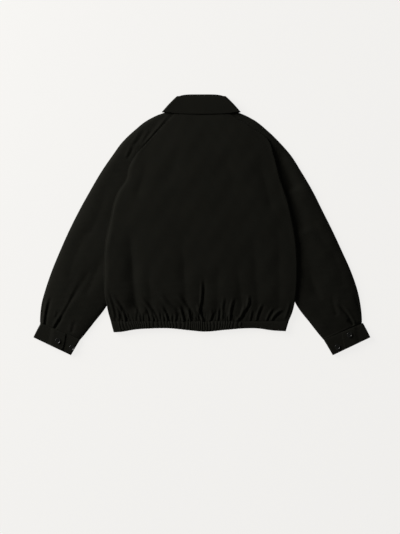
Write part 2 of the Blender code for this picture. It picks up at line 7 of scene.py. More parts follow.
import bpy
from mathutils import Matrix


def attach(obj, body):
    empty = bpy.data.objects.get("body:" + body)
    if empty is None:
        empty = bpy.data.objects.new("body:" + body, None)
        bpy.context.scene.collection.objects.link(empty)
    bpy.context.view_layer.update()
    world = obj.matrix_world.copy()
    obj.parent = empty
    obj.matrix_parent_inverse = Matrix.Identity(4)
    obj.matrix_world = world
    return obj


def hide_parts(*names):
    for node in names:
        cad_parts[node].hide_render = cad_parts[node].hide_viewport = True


bl_info = {
    "name": "Harrington Jacket",
    "version": (1, 0, 0),
    "blender": (4, 5, 0),
    "location": "View3D > Sidebar > Jacket",
    "description": "Lays out a raglan harrington jacket with gathered hem, cuffs, collar and zip",
    "category": "Add Mesh",
}

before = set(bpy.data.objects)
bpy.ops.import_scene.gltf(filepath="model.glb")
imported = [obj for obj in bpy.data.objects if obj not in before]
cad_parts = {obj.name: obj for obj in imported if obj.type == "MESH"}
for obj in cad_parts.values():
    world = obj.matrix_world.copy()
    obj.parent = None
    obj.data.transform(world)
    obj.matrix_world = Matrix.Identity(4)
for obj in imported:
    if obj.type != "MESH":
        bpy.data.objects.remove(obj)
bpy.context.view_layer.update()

import math

import bpy
import numpy as np
from bpy.props import FloatProperty, FloatVectorProperty, IntProperty, PointerProperty
from mathutils import Matrix, Vector

MM = 0.001
SIDES = {"left": -1, "right": 1}
JACKET_BODY = "jacket"

# Sizes that the forms share with the frame's solids.
SEAM_GAP = 0.3 * MM
SIDE_SEAM_GAP = 0.5 * MM
SLEEVE_EDGE_Z = 3.0 * MM
PIT_ROW = 8
PIT_MARGIN = 1.0 * MM
FALL_COVER_RISE = 1.6 * MM
FALL_COVER_REACH = 18.0 * MM
FALL_COVER_SLOPE = 14.0 * MM
FRONT_EDGE_X = 5.0 * MM
TENT_HEIGHT = 3.7 * MM
TENT_START_Y = 224.0 * MM
TENT_HALF_WIDTH = 8.0 * MM
TENT_SLOPE = 34.0 * MM
ZIP_TOP_Y = 259.0 * MM
ZIP_STOP_Y = 247.0 * MM
ZIP_BOTTOM_Y = -296.0 * MM
CHAIN_MIDDLE_Z = 1.7 * MM
TAPE_Z = 1.85 * MM
TAPE_HALF_WIDTH = 15.0 * MM
HEM_STEP = 0.7 * MM
HEM_TOP_Y = -269.0 * MM
HEM_ROLL = 4.2 * MM
HEM_DRAWN_IN = 8.0 * MM
HEM_MIDDLE_Z = 5.0 * MM
HEM_TUCK = 2.5 * MM
HEM_JOIN_LEFT_X = -236.0 * MM
HEM_JOIN_RIGHT_X = 110.0 * MM
COLLAR_TURN = 7.0 * MM
COLLAR_SEAM_GAP = 1.2 * MM
COLLAR_SAG = 4.0 * MM
CUFF_HEIGHT = 9.0 * MM
CUFF_WIDTH = 115.0 * MM
CUFF_DEPTH = 48.0 * MM
CUFF_CORNER = 9.0 * MM
CUFF_LAP_GAP = 0.4 * MM


def table(names, *rows):
    """Named columns in metres, from rows in millimetres."""
    return {name: np.array([row[i] for row in rows]) * MM for i, name in enumerate(names.split())}


# The back, from the neck to the hem.  left and right are the folded side
# edges, seam is where the turned-under cloth ends, roll is the fold's radius.
BACK = table(
    "y left right seam seam_z under_z roll crown",
    (318, 70, 71, 64, 10.3, 10.3, 0.95, 13.2),
    (306, 80, 84, 73, 11.2, 11.2, 0.95, 15.0),
    (290, 96, 107, 88, 12.3, 12.3, 0.95, 16.6),
    (266, 118, 144, 110, 13.5, 13.5, 0.95, 18.5),
    (240, 142, 182, 134, 14.2, 14.2, 1.00, 20.0),
    (224, 156, 191, 147, 14.4, 14.4, 1.20, 21.0),
    (200, 179, 198, 158, 14.4, 14.4, 1.60, 22.0),
    (165, 202, 208, 166, 14.4, 14.4, 2.00, 22.8),
    (125, 212, 218, 168, 14.4, 14.4, 2.40, 23.4),
    (95, 232, 229, 166, 14.4, 14.4, 2.50, 23.5),
    (60, 246, 240, 161, 13.8, 14.4, 2.60, 23.5),
    (25, 253, 248, 157, 12.4, 14.4, 2.60, 23.5),
    (-5, 260, 254, 155, 10.0, 14.4, 2.60, 23.3),
    (-40, 268, 260, 164, 8.4, 14.4, 2.60, 23.0),
    (-85, 272, 264, 177, 8.0, 14.4, 2.60, 22.4),
    (-130, 273, 265, 193, 8.0, 14.4, 2.60, 21.5),
    (-175, 272, 263, 207, 7.3, 14.1, 2.60, 19.8),
    (-205, 269, 260, 216, 6.0, 12.6, 2.70, 17.5),
    (-224, 265, 257, 221, 4.5, 9.5, 2.90, 15.0),
    (-244, 261, 252, 226, 2.6, 4.6, 3.50, 12.6),
    (-268.7, 254, 242, 231, 0.8, 0.8, 4.20, 9.2),
)

# The sleeves' rows, from the neck to the cuff.  seam is the edge sewn to the
# back, front is the edge sewn to the front, and from the underarm on they meet.
SLEEVE = table(
    "seam_x seam_y seam_z front_x front_y front_z outer_y crest low",
    (65, 318, 8.6, 66.3, 292, 2.1, 319, 8.9, 2.1),
    (73, 306, 9.6, 76.3, 272, 2.1, 312, 9.9, 2.1),
    (95, 282, 10.8, 92.3, 245, 0.5, 296, 11.0, 0.9),
    (119, 257, 11.8, 108.3, 215, 0.5, 264, 12.0, 0.5),
    (147, 224, 12.6, 122.3, 182, 0.5, 229, 12.7, 0.5),
    (161, 188, 12.8, 133.3, 145, 0.5, 195, 12.9, 0.5),
    (168, 140, 12.8, 142.3, 100, 0.5, 158, 12.9, 0.5),
    (163, 75, 10.5, 149.3, 45, 0.6, 110, 12.9, 0.5),
    (157, -5, 3.0, 157, -5, 3.0, 62, 12.9, 0.5),
    (194, -78, 3.0, 194, -78, 3.0, -10, 12.9, 0.5),
    (230, -151, 3.0, 230, -151, 3.0, -82, 12.9, 0.5),
    (265, -224, 3.0, 265, -224, 3.0, -152, 12.6, 0.5),
    (302, -273, 3.0, 302, -273, 3.0, -210, 11.6, 0.5),
    (328, -306, 3.0, 328, -306, 3.0, -250, 10.0, 0.5),
    (339, -319, 3.0, 339, -319, 3.0, -270, 8.6, 0.5),
)

# The shoulder and the outer edge of the sleeves.
OUTLINE = table(
    "y left right",
    (319, 96, 95), (312, 108, 106), (307, 122, 118), (297, 143, 138), (263, 189, 183),
    (230, 223, 217), (196, 248, 247), (151, 279, 276), (95, 312, 309), (39, 343, 337),
    (-17, 371, 365), (-73, 396, 391), (-129, 419, 416), (-185, 438, 435), (-218, 447, 442),
    (-250, 451, 446), (-272, 452, 447),
)

NECKLINE = table("x y", (5, 262), (22, 263.5), (38, 268), (53, 277), (66, 292), (80, 306), (97, 321))
FALL_EDGE = table("x y", (36, 240), (66, 263), (90, 288), (111, 313))

# Loops of the collar, from the neck seam over the fold to the fall's edge.
COLLAR = table(
    "left right top_z low_z back_y side_y front_y front_x",
    (97, 97, 11.7, 2.1, 318.8, 321, 262, 5),
    (86, 85, 13.6, 2.1, 338, 336, 278, 5),
    (71, 69, 14.6, 2.1, 357.5, 353, 292, 5),
    (69, 66, 16.2, 1.3, 362.43, 358, 296, 5.5),
    (74, 71, 17.8, 0.5, 358.5, 354, 292, 7),
    (93, 90, 17.6, 0.5, 338, 335, 268, 19),
    (111, 108, 16.2, 0.5, 312, 314.5, 240, 35),
)

# The hem's wavy lower edge.
HEM_EDGE = table(
    "x y",
    (-250, -299), (-235, -298), (-190, -291), (-140, -288), (-90, -288), (-40, -293), (7, -297),
    (70, -292), (125, -288), (158, -288), (205, -294), (240, -296),
)

# The corners of each cuff: the inner and outer ends of its two long edges.
CUFF = table(
    "inner_x inner_y outer_x outer_y",
    (339.4, -319.6, 449.5, -273.4),
    (350.5, -338, 459.3, -291.4),
    (365, -363, 470, -313),
)
CUFF_LAP = {"left": (0.36, 0.23), "right": (0.46, 0.32)}
BUTTONS = {
    "left": ((-401.0 * MM, -323.0 * MM, True), (-362.5 * MM, -342.5 * MM, False)),
    "right": ((411.0 * MM, -306.0 * MM, True), (378.0 * MM, -340.0 * MM, False)),
}

# Creases: each runs from its faint end to its deep end and bows sideways by
# bend.  width is about half its breadth, and lip says how far the cloth beside
# it rises, on the side that its sign gives.  A negative depth is a ridge.
CREASE_NAMES = "x0 y0 x1 y1 bend width depth lip"
CREASE_FADES = (0.45, 0.12)
CREASE_NARROWING = (1.05, 0.3)
LIP_RISE = 1.3
LIP_PLACE = 2.0

BACK_CREASES = table(
    CREASE_NAMES,
    # Broad, soft folds that hang from the blades to the hem.
    (-205, 20, -180, -250, 0, 14, 1.4, 0),
    (-196, -24, -186, -236, -3, 23, 2.9, 0),
    (-150, -90, -140, -256, 0, 15, 1.3, 0),
    (-58, -20, -46, -256, 3, 17, 1.7, 0),
    (5, -120, 2, -256, 0, 14, 1.5, 0),
    (48, -90, 44, -256, -2, 16, 1.1, 0),
    (95, -100, 112, -256, 3, 15, 1.5, 0),
    (146, -10, 160, -256, -3, 18, 1.3, 0),
    (212, 40, 214, -250, 2, 17, 1.1, 0),
    (-146, 214, -180, 84, 3, 20, 1.4, 0),
    (158, 206, 194, 50, -3, 20, 1.3, 0),
    (-60, 240, -96, 110, 4, 24, 0.8, 0),
    (70, 226, 92, 96, -4, 24, 0.7, 0),
    # Gathers that the hem band pulls in.
    (-264, -172, -238, -258, 4, 4.5, 1.0, 0.9),
    (-250, -190, -206, -266, 6, 4.5, 1.6, 1.2),
    (-236, -222, -224, -264, 2, 3.5, 1.0, 0.7),
    (-214, -236, -196, -268, 2, 3.5, 1.0, 0.7),
    (-190, -214, -166, -266, 4, 4.5, 1.2, 0.8),
    (-172, -194, -120, -268, 7, 4.5, 1.7, 1.4),
    (-158, -226, -144, -267, 2, 3.5, 1.6, 0.8),
    (-140, -238, -131, -269, 1, 3.0, 1.8, 1.0),
    (-110, -222, -90, -268, 3, 3.8, 2.0, 1.2),
    (-112, -180, -60, -240, -5, 6, 0.9, 0.9),
    (-66, -186, -24, -256, 5, 5.0, 1.4, 1.2),
    (-58, -222, -46, -269, 2, 3.8, 2.4, 1.5),
    (-39, -232, -27, -268, 2, 3.2, 2.0, 1.0),
    (6, -146, -1, -236, 3, 3.8, 1.9, 1.4),
    (-4, -210, 13, -272, -5, 4.0, 2.5, 1.8),
    (39, -240, 27, -269, 0, 3.2, 2.0, 1.0),
    (53, -228, 48, -268, 1, 3.4, 1.8, 0.9),
    (70, -196, 62, -262, -2, 4.0, 1.2, 0.8),
    (98, -200, 82, -266, -3, 4.0, 1.8, 1.5),
    (136, -194, 125, -240, 5, 4.0, 2.2, 1.6),
    (128, -218, 104, -269, 5, 4.4, 2.6, 1.8),
    (146, -236, 138, -268, 0, 3.2, 1.5, 0.8),
    (178, -218, 156, -268, -3, 3.8, 1.8, 1.3),
    (208, -232, 184, -269, -3, 3.6, 1.6, 1.0),
    (236, -240, 198, -268, -5, 4.0, 2.1, 1.5),
    (255, -210, 238, -262, 2, 4.5, 1.4, 0.8),
)

SLEEVE_CREASES = {
    "left": table(
        CREASE_NAMES,
        # The seam allowance that stands beside the raglan seam.
        (-82, 322, -166, 222, 2, 6.0, -1.7, 0),
        # Short creases where the shoulder turns over.
        (-158, 272, -188, 222, 3, 6.0, 0.7, 0.5),
        (-134, 266, -164, 222, -2, 5.0, 0.6, 0.4),
        (-188, 226, -206, 186, 2, 5.0, 1.0, 0.5),
        # Long, soft hollows down the arm.
        (-262, 118, -318, -30, 8, 17, 1.2, 0),
        (-300, 20, -372, -150, -6, 18, 1.1, 0),
        (-280, -80, -322, -190, 4, 13, 1.2, 0),
        # Fine lines beside the body's folded edge.
        (-277, -84, -278, -168, 0, 1.8, 0.5, 0.1),
        (-284, -88, -284, -166, 0, 1.8, 0.5, 0.1),
        (-290.5, -90, -291, -162, 0, 1.8, 0.4, 0.1),
        # Pleats let into the cuff.
        (-300, -104, -366, -212, 2, 9, 1.0, 0.3),
        (-336, -152, -410, -286, 3, 3.2, 1.4, 0.5),
        (-386, -252, -410, -288, 0, 4.2, 2.6, 0.6),
        (-417, -194, -437, -284, -3, 4.2, 2.4, 1.4),
        (-398, -238, -406, -258, 0, 4.0, 0.7, 0.3),
        (-352, -262, -362, -300, 0, 5.0, 1.0, 0.3),
    ),
    "right": table(
        CREASE_NAMES,
        # The hollow beside the body's folded edge.
        (198, 258, 256, 100, -5, 25, 4.0, 0),
        (224, 176, 286, -14, -4, 27, 3.2, 0),
        (250, 60, 284, -150, -2, 15, 1.5, 0),
        (266, 40, 318, -200, -3, 30, 1.9, 0),
        # Long, soft hollows down the arm.
        (300, 60, 352, -70, -8, 17, 1.0, 0),
        (340, -30, 396, -170, 6, 18, 1.1, 0),
        (296, -110, 330, -210, -4, 13, 1.0, 0),
        # Pleats let into the cuff.
        (372, -216, 422, -278, 5, 4.0, 2.4, -0.8),
        (404, -262, 422, -278, 0, 4.5, 2.6, -0.6),
        (362, -190, 376, -252, -2, 7, 1.3, -0.4),
        (420, -186, 442, -250, 3, 5, 1.5, -0.5),
    ),
}

# The hidden fronts lie on the ground, so their creases stand up from it.
FRONT_CREASES = table(
    CREASE_NAMES,
    (60, 120, 52, -150, 8, 14, 0.8, 0),
    (120, 60, 134, -220, -8, 15, 1.0, 0),
    (84, -80, 78, -262, 4, 9, 1.0, 0),
    (160, -150, 172, -262, -4, 9, 1.2, 0),
    (34, -190, 30, -264, 2, 6, 0.9, 0),
    (112, -214, 104, -266, 2, 5, 1.0, 0),
    (196, -206, 204, -264, 2, 6, 1.1, 0),
    (96, 214, 118, 130, 6, 12, 0.9, 0),
)

# Waves that run all over the cloth: height in millimetres, length in
# millimetres, direction in degrees and phase in turns.
ROLLING_WAVES = (
    (0.42, 148.0, 18.0, 0.10), (0.36, 103.0, 71.0, 0.35), (0.28, 79.0, 128.0, 0.62),
    (0.14, 43.0, 152.0, 0.20), (0.12, 31.0, 36.0, 0.81), (0.07, 19.0, 98.0, 0.47),
)


# ---------------------------------------------------------------- settings

class JacketSizes(bpy.types.PropertyGroup):
    """Sizes of the cloth and trims."""

    wall: FloatProperty(
        name="Cloth Thickness", description="Thickness of one layer of the shell cloth",
        default=1.0 * MM, min=0.3 * MM, max=3 * MM, unit="LENGTH")
    band_wall: FloatProperty(
        name="Band Thickness", description="Thickness of the doubled cloth of hem and cuffs",
        default=1.6 * MM, min=0.6 * MM, max=4 * MM, unit="LENGTH")
    crease_strength: FloatProperty(
        name="Crease Strength", description="Times the creases' tabled depths", default=1.4, min=0, max=2)
    rib_pitch: FloatProperty(
        name="Rib Pitch", description="Distance between the gathered ribs of the hem band",
        default=8.0 * MM, min=2 * MM, unit="LENGTH")
    rib_height: FloatProperty(
        name="Rib Height", description="How far the hem's ribs stand out", default=4.0 * MM, unit="LENGTH")
    stitch_pitch: FloatProperty(
        name="Stitch Pitch", description="Distance from one stitch to the next",
        default=3.2 * MM, min=1 * MM, unit="LENGTH")
    stitch_width: FloatProperty(
        name="Thread Width", description="Thickness of the sewing thread", default=0.5 * MM, unit="LENGTH")
    button_radius: FloatProperty(
        name="Button Radius", description="Radius of the cuff buttons", default=7.3 * MM, unit="LENGTH")
    button_thickness: FloatProperty(
        name="Button Thickness", description="Height of the cuff buttons' rim",
        default=3.0 * MM, unit="LENGTH")
    button_sides: IntProperty(
        name="Button Sides", description="Number of flats round a button", default=56, min=12)
    tooth_pitch: FloatProperty(
        name="Tooth Pitch", description="Distance between teeth on one tape", default=2.6 * MM, unit="LENGTH")


class JacketColours(bpy.types.PropertyGroup):
    """Colours of the finishes."""

    cloth: FloatVectorProperty(
        name="Cloth", description="Main colour of the twill", subtype="COLOR", size=4,
        default=(0.0105, 0.0105, 0.0078, 1.0), min=0, max=1)
    # The lighter cloth colour: a painted highlight on the twill's raised yarns, and the lighter patches of
    # its random mottle.
    cloth_highlight_and_mottle: FloatVectorProperty(
        name="Yarn Highlight and Mottle", description="Colour of the yarns that stand up", subtype="COLOR", size=4,
        default=(0.0180, 0.0176, 0.0134, 1.0), min=0, max=1)
    thread: FloatVectorProperty(
        name="Thread", description="Colour of the topstitching", subtype="COLOR", size=4,
        default=(0.020, 0.0196, 0.0154, 1.0), min=0, max=1)
    button: FloatVectorProperty(
        name="Button", description="Colour of the buttons", subtype="COLOR", size=4,
        default=(0.010, 0.010, 0.009, 1.0), min=0, max=1)
    metal: FloatVectorProperty(
        name="Zip Metal", description="Colour of slider, tab and teeth", subtype="COLOR", size=4,
        default=(0.32, 0.30, 0.27, 1.0), min=0, max=1)


class StudioSettings(bpy.types.PropertyGroup):
    """The stage, lights and camera."""

    floor_colour: FloatVectorProperty(
        name="Floor", description="Colour of the pale floor", subtype="COLOR", size=4,
        default=(0.18, 0.176, 0.168, 1.0), min=0, max=1)
    floor_glow: FloatProperty(
        name="Floor Glow", description="Light that the floor gives off itself", default=0.825, min=0)
    key_power: FloatProperty(
        name="Key Light", description="Power of the soft light at the upper left",
        default=130.0, min=0, subtype="POWER", unit="POWER")
    key_size: FloatProperty(
        name="Key Size", description="Width of the key light", default=2.4, unit="LENGTH")
    surround: FloatProperty(
        name="Surround", description="Strength of the even light all round", default=0.07, min=0)
    camera_height: FloatProperty(
        name="Camera Height", description="Height of the camera over the floor", default=4.5, unit="LENGTH")
    view_width: FloatProperty(
        name="View Width", description="Width of floor that the camera takes in",
        default=1.117, unit="LENGTH")
    view_centre: FloatVectorProperty(
        name="View Centre", description="Point of the floor at the middle of the view", size=2,
        default=(-0.0052, -0.1172), subtype="XYZ", unit="LENGTH")


def sizes():
    """The scene's sizes of cloth and trims."""
    return bpy.context.scene.jacket_sizes


def colours():
    """The scene's colours of the finishes."""
    return bpy.context.scene.jacket_colours


def studio():
    """The scene's stage, lights and camera settings."""
    return bpy.context.scene.jacket_studio


# ------------------------------------------------------------ curves, grids

def smooth(t):
    """0 below 0, 1 above 1, and an even S between: t squared times (3 - 2t)."""
    t = np.clip(t, 0.0, 1.0)
    return t * t * (3.0 - 2.0 * t)


def through(knots, values, at):
    """Cubic curve through a table's rows, whose slope at a row comes from its neighbours."""
    order = np.argsort(knots)
    knots, values = np.asarray(knots)[order], np.asarray(values)[order]
    slope = np.gradient(values, knots)
    at = np.clip(at, knots[0], knots[-1])
    i = np.clip(np.searchsorted(knots, at) - 1, 0, len(knots) - 2)
    step = knots[i + 1] - knots[i]
    t = (at - knots[i]) / step
    start = (2 * t**3 - 3 * t**2 + 1) * values[i] + (t**3 - 2 * t**2 + t) * step * slope[i]
    end = (3 * t**2 - 2 * t**3) * values[i + 1] + (t**3 - t**2) * step * slope[i + 1]
    return start + end


def resampled(columns, places):
    """The columns of a table at fractional row numbers, each a column of a grid."""
    rows = np.arange(len(next(iter(columns.values()))))
    return {name: through(rows, values, places)[:, None] for name, values in columns.items()}


def eased(start, end, count):
    """Places from start to end that crowd together at both ends, as a cosine does."""
    return start + (end - start) * (1.0 - np.cos(np.pi * np.linspace(0.0, 1.0, count))) / 2.0


def ring_angles(sides):
    """The angles of a ring's corners, once round."""
    return np.linspace(0.0, 2.0 * np.pi, sides + 1)[:-1]


def read_line(places, knots, values):
    """Rows of values, known at knots along a line, read at other places along it."""
    return np.stack([np.interp(places, knots, column) for column in values.T], axis=-1)


def grid(x, y, z):
    """Points of a surface from three arrays of one shape."""
    return np.stack(np.broadcast_arrays(x, y, z), axis=-1)


def crease_height(x, y, creases):
    """Height of the creases at x, y: across each line a bell, exp(-|a| to the 1.6), and beside it the
    lip's bell, exp(-(a - 2) squared), where a is the distance from the bowed line over the crease's width,
    which narrows towards its deep end.  Along its line a crease fades in slowly and out quickly."""
    x, y = np.broadcast_arrays(x, y)
    height = np.zeros(x.shape)
    for x0, y0, x1, y1, bend, width, depth, lip in zip(*(creases[name] for name in CREASE_NAMES.split())):
        length = math.hypot(x1 - x0, y1 - y0)
        along = ((x - x0) * (x1 - x0) + (y - y0) * (y1 - y0)) / length**2
        inside = np.clip(along, 0.0, 1.0)
        bow = bend * 4.0 * inside * (1.0 - inside)
        across = ((x - x0) * (y1 - y0) - (y - y0) * (x1 - x0)) / length + bow
        reach = across / (width * (CREASE_NARROWING[0] - CREASE_NARROWING[1] * inside))
        ends = smooth(along / CREASE_FADES[0]) * smooth((1.0 + CREASE_FADES[1] / 2 - along) / CREASE_FADES[1])
        trough = np.exp(-np.abs(reach) ** 1.6)
        beside = np.exp(-((reach - math.copysign(LIP_PLACE, lip)) ** 2))
        height += ends * (LIP_RISE * abs(lip) * beside - depth * trough)
    return height * sizes().crease_strength


def rolling(x, y):
    """The cloth's slow, shallow waves: a sum of sines in six directions."""
    height = np.zeros(np.broadcast(x, y).shape)
    for rise, length, direction, phase in ROLLING_WAVES:
        angle = math.radians(direction)
        travel = (x * math.cos(angle) + y * math.sin(angle)) / (length * MM)
        height = height + rise * MM * np.sin(2.0 * np.pi * (travel + phase))
    return height


def small_gathers(left_x, right_x, foot_y, count, seed):
    """A table of short tucks along a gathered seam, uneven in place, length, lean and depth."""
    draw = np.random.default_rng(seed)
    even = np.linspace(left_x, right_x, count) / MM
    foot = even + draw.uniform(-3.5, 3.5, count)
    rows = zip(foot + draw.uniform(-9, 9, count), foot_y / MM + draw.uniform(12, 46, count), foot,
               np.full(count, foot_y / MM), draw.uniform(-1.5, 1.5, count), draw.uniform(2.3, 4.0, count),
               draw.uniform(0.4, 1.5, count), draw.uniform(0.1, 0.5, count))
    return table(CREASE_NAMES, *rows)


def seam_pucker(along, pitch=8.5 * MM, height=0.3 * MM):
    """Small uneven puckers along a seam: two sines whose pitches don't divide."""
    turns = 2.0 * np.pi * along / pitch
    return height * (0.6 * np.sin(turns) + 0.4 * np.sin(1.73 * turns + 0.9))


# ------------------------------------------------------------------ meshes

def cloth_lengths(points):
    """Distances in metres along the rows and down the columns of a grid, for the weave."""
    across = np.linalg.norm(np.diff(points, axis=1), axis=-1)
    across = np.cumsum(np.pad(across, ((0, 0), (1, 0))), axis=1)
    middle = points.shape[1] // 2
    down = np.linalg.norm(np.diff(points, axis=0), axis=-1).mean(axis=1)
    down = np.cumsum(np.pad(down, (1, 0)))[:, None]
    return np.stack(np.broadcast_arrays(across - across[:, middle:middle + 1], -down), axis=-1)


def quads(index):
    """The four corners of each cell of a grid of vertex numbers."""
    return np.stack((index[:-1, :-1], index[:-1, 1:], index[1:, 1:], index[1:, :-1]), axis=-1).reshape(-1, 4)


def finished(name, vertices, faces, material, lengths=None):
    """A smooth-shaded object at the origin; lengths are the weave's coordinates at the faces' corners."""
    mesh = bpy.data.meshes.new(name)
    mesh.from_pydata(np.asarray(vertices, dtype=float).tolist(), [], np.asarray(faces).tolist())
    if lengths is not None:
        mesh.uv_layers.new(name="cloth").data.foreach_set("uv", np.asarray(lengths, dtype=np.float32).ravel())
    mesh.materials.append(material)
    mesh.shade_smooth()
    mesh.update()
    made = bpy.data.objects.new(name, mesh)
    bpy.context.scene.collection.objects.link(made)
    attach(made, JACKET_BODY)
    return made


def shell(name, points, wall, material, closed_from=None):
    """A shell around a grid of points; its rows from closed_from on are closed into a tube."""
    rows, columns = points.shape[:2]
    raw = np.arange(rows * columns).reshape(rows, columns)
    index = raw.copy()
    if closed_from is not None:
        index[closed_from:, -1] = index[closed_from:, 0]
    used, welded = np.unique(index, return_inverse=True)
    lengths = cloth_lengths(points).reshape(-1, 2)[quads(raw).ravel()]
    made = finished(name, points.reshape(-1, 3)[used], quads(welded.reshape(rows, columns)),
                    material, lengths)
    thicken = made.modifiers.new("wall", "SOLIDIFY")
    thicken.thickness = wall
    thicken.offset = 0.0
    return made


def cloth_piece(name, points, wall, replaces, closed_from=None):
    """A shell of the jacket's cloth that stands for a solid."""
    made = shell(name, points, wall, cloth_material(), closed_from)
    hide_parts(replaces)
    return made


def normals_of(points):
    """Unit normals of a grid, from the steps along its rows and columns."""
    along = np.gradient(points, axis=1)
    down = np.gradient(points, axis=0)
    normal = np.cross(down, along)
    return normal / np.maximum(np.linalg.norm(normal, axis=-1, keepdims=True), 1e-12)


def read_surface(values, row, column):
    """A grid's values at fractional rows and columns, mixed evenly between its four neighbours."""
    row = np.clip(row, 0, values.shape[0] - 1.001)
    column = np.clip(column, 0, values.shape[1] - 1.001)
    r, c = np.floor(row).astype(int), np.floor(column).astype(int)
    fr, fc = (row - r)[:, None], (column - c)[:, None]
    near = values[r, c] * (1 - fc) + values[r, c + 1] * fc
    far = values[r + 1, c] * (1 - fc) + values[r + 1, c + 1] * fc
    return near * (1 - fr) + far * fr


STITCH_SIDES = 5


def stitch_line(points, row, column, lift):
    """Places along a line on a surface, and the way out of it, for a row of stitches."""
    row, column = np.broadcast_arrays(np.asarray(row, float), np.asarray(column, float))
    normal = read_surface(normals_of(points), row, column)
    return read_surface(points, row, column) + normal * lift, normal


def stitches(line, normal):
    """One row of stitches: spindles of thread, four fifths as thick as wide, set one after another."""
    pitch, width = sizes().stitch_pitch, sizes().stitch_width
    length = np.cumsum(np.pad(np.linalg.norm(np.diff(line, axis=0), axis=1), (1, 0)))
    count = max(int(length[-1] / pitch), 1)
    at = (np.arange(count) + 0.5) * pitch
    centre, out = read_line(at, length, line), read_line(at, length, normal)
    ahead = read_line(at + pitch / 4, length, line)
    along = ahead - centre
    along /= np.maximum(np.linalg.norm(along, axis=1, keepdims=True), 1e-9)
    side = np.cross(out, along)
    ring = ring_angles(STITCH_SIDES)
    station = np.array([-0.42, -0.30, 0.0, 0.30, 0.42]) * pitch
    swell = np.array([0.25, 0.85, 1.0, 0.85, 0.25]) * width / 2
    sink = np.array([-0.30, -0.05, 0.05, -0.05, -0.30]) * width
    offset_side = swell[:, None] * np.cos(ring)
    offset_out = swell[:, None] * np.sin(ring) * 0.8 + sink[:, None]
    offset_along = np.broadcast_to(station[:, None], offset_side.shape)
    local = np.stack([offset_along, offset_side, offset_out], axis=-1).reshape(-1, 3)
    axes = np.stack([along, side, out], axis=1)
    vertices = centre[:, None, :] + np.einsum("kj,njc->nkc", local, axes)
    index = np.arange(len(station) * STITCH_SIDES).reshape(len(station), STITCH_SIDES)
    index = np.hstack([index, index[:, :1]])
    faces = quads(index)[None] + (np.arange(count) * len(local))[:, None, None]
    return vertices.reshape(-1, 3), faces.reshape(-1, 4)


def joined_stitches(name, lines):
    """All the stitch rows of a piece as one mesh of thread, none of it below the ground."""
    vertices, faces, start = [], [], 0
    for line, normal in lines:
        row_vertices, row_faces = stitches(line, normal)
        vertices.append(row_vertices)
        faces.append(row_faces + start)
        start += len(row_vertices)
    vertices = np.concatenate(vertices)
    vertices[:, 2] = np.maximum(vertices[:, 2], 0.0)
    made = finished(name, vertices, np.concatenate(faces), thread_material())
    return made


# --------------------------------------------------------------- materials

FINE_RELIEF = 0.1 * MM


def made_once(store, name):
    """Turns a maker into a getter, which makes the thing only while Blender holds none of that name."""
    def wrap(make):
        def get():
            return getattr(bpy.data, store).get(name) or make(name)
        return get
    return wrap


class Net:
    """Adds shader nodes to a tree and joins them; an input may be a socket or a plain value."""

    def __init__(self, tree):
        self.tree = tree
        self.column = 0

    def add(self, kind, settings=(), **inputs):
        node = self.tree.nodes.new(kind)
        self.column += 1
        node.location = (self.column * 190, -60 * (self.column % 4))
        for key, value in dict(settings).items():
            setattr(node, key, value)
        for key, value in inputs.items():
            self.feed(node.inputs[key.replace("_", " ")], value)
        return node

    def feed(self, socket, value):
        if isinstance(value, bpy.types.NodeSocket):
            self.tree.links.new(value, socket)
        else:
            socket.default_value = value

    def math(self, operation, *values):
        node = self.add("ShaderNodeMath", {"operation": operation})
        for socket, value in zip(node.inputs, values):
            self.feed(socket, value)
        return node.outputs[0]

    def mix(self, share, first, second):
        node = self.add("ShaderNodeMix", {"data_type": "RGBA"})
        self.feed(node.inputs["Factor"], share)
        self.feed(node.inputs[6], first)
        self.feed(node.inputs[7], second)
        return node.outputs[2]

    def noise(self, place, scale, detail=2.0):
        node = self.add("ShaderNodeTexNoise", Vector=place, Scale=scale, Detail=detail)
        return node.outputs["Fac"]

    def spread(self, value, low, high, to_low=0.0, to_high=1.0):
        node = self.add("ShaderNodeMapRange")
        for socket, number in zip(node.inputs, (value, low, high, to_low, to_high)):
            self.feed(socket, number)
        return node.outputs[0]


def node_group(name, inputs, outputs):
    """A new shader node group with its sockets, and the net, inputs and output node to fill it with."""
    group = bpy.data.node_groups.new(name, "ShaderNodeTree")
    for label, kind, default in inputs:
        socket = group.interface.new_socket(name=label, in_out="INPUT", socket_type=kind)
        if default is not None:
            socket.default_value = default
    for label, kind in outputs:
        group.interface.new_socket(name=label, in_out="OUTPUT", socket_type=kind)
    net = Net(group)
    return group, net, net.add("NodeGroupInput").outputs, net.add("NodeGroupOutput").inputs


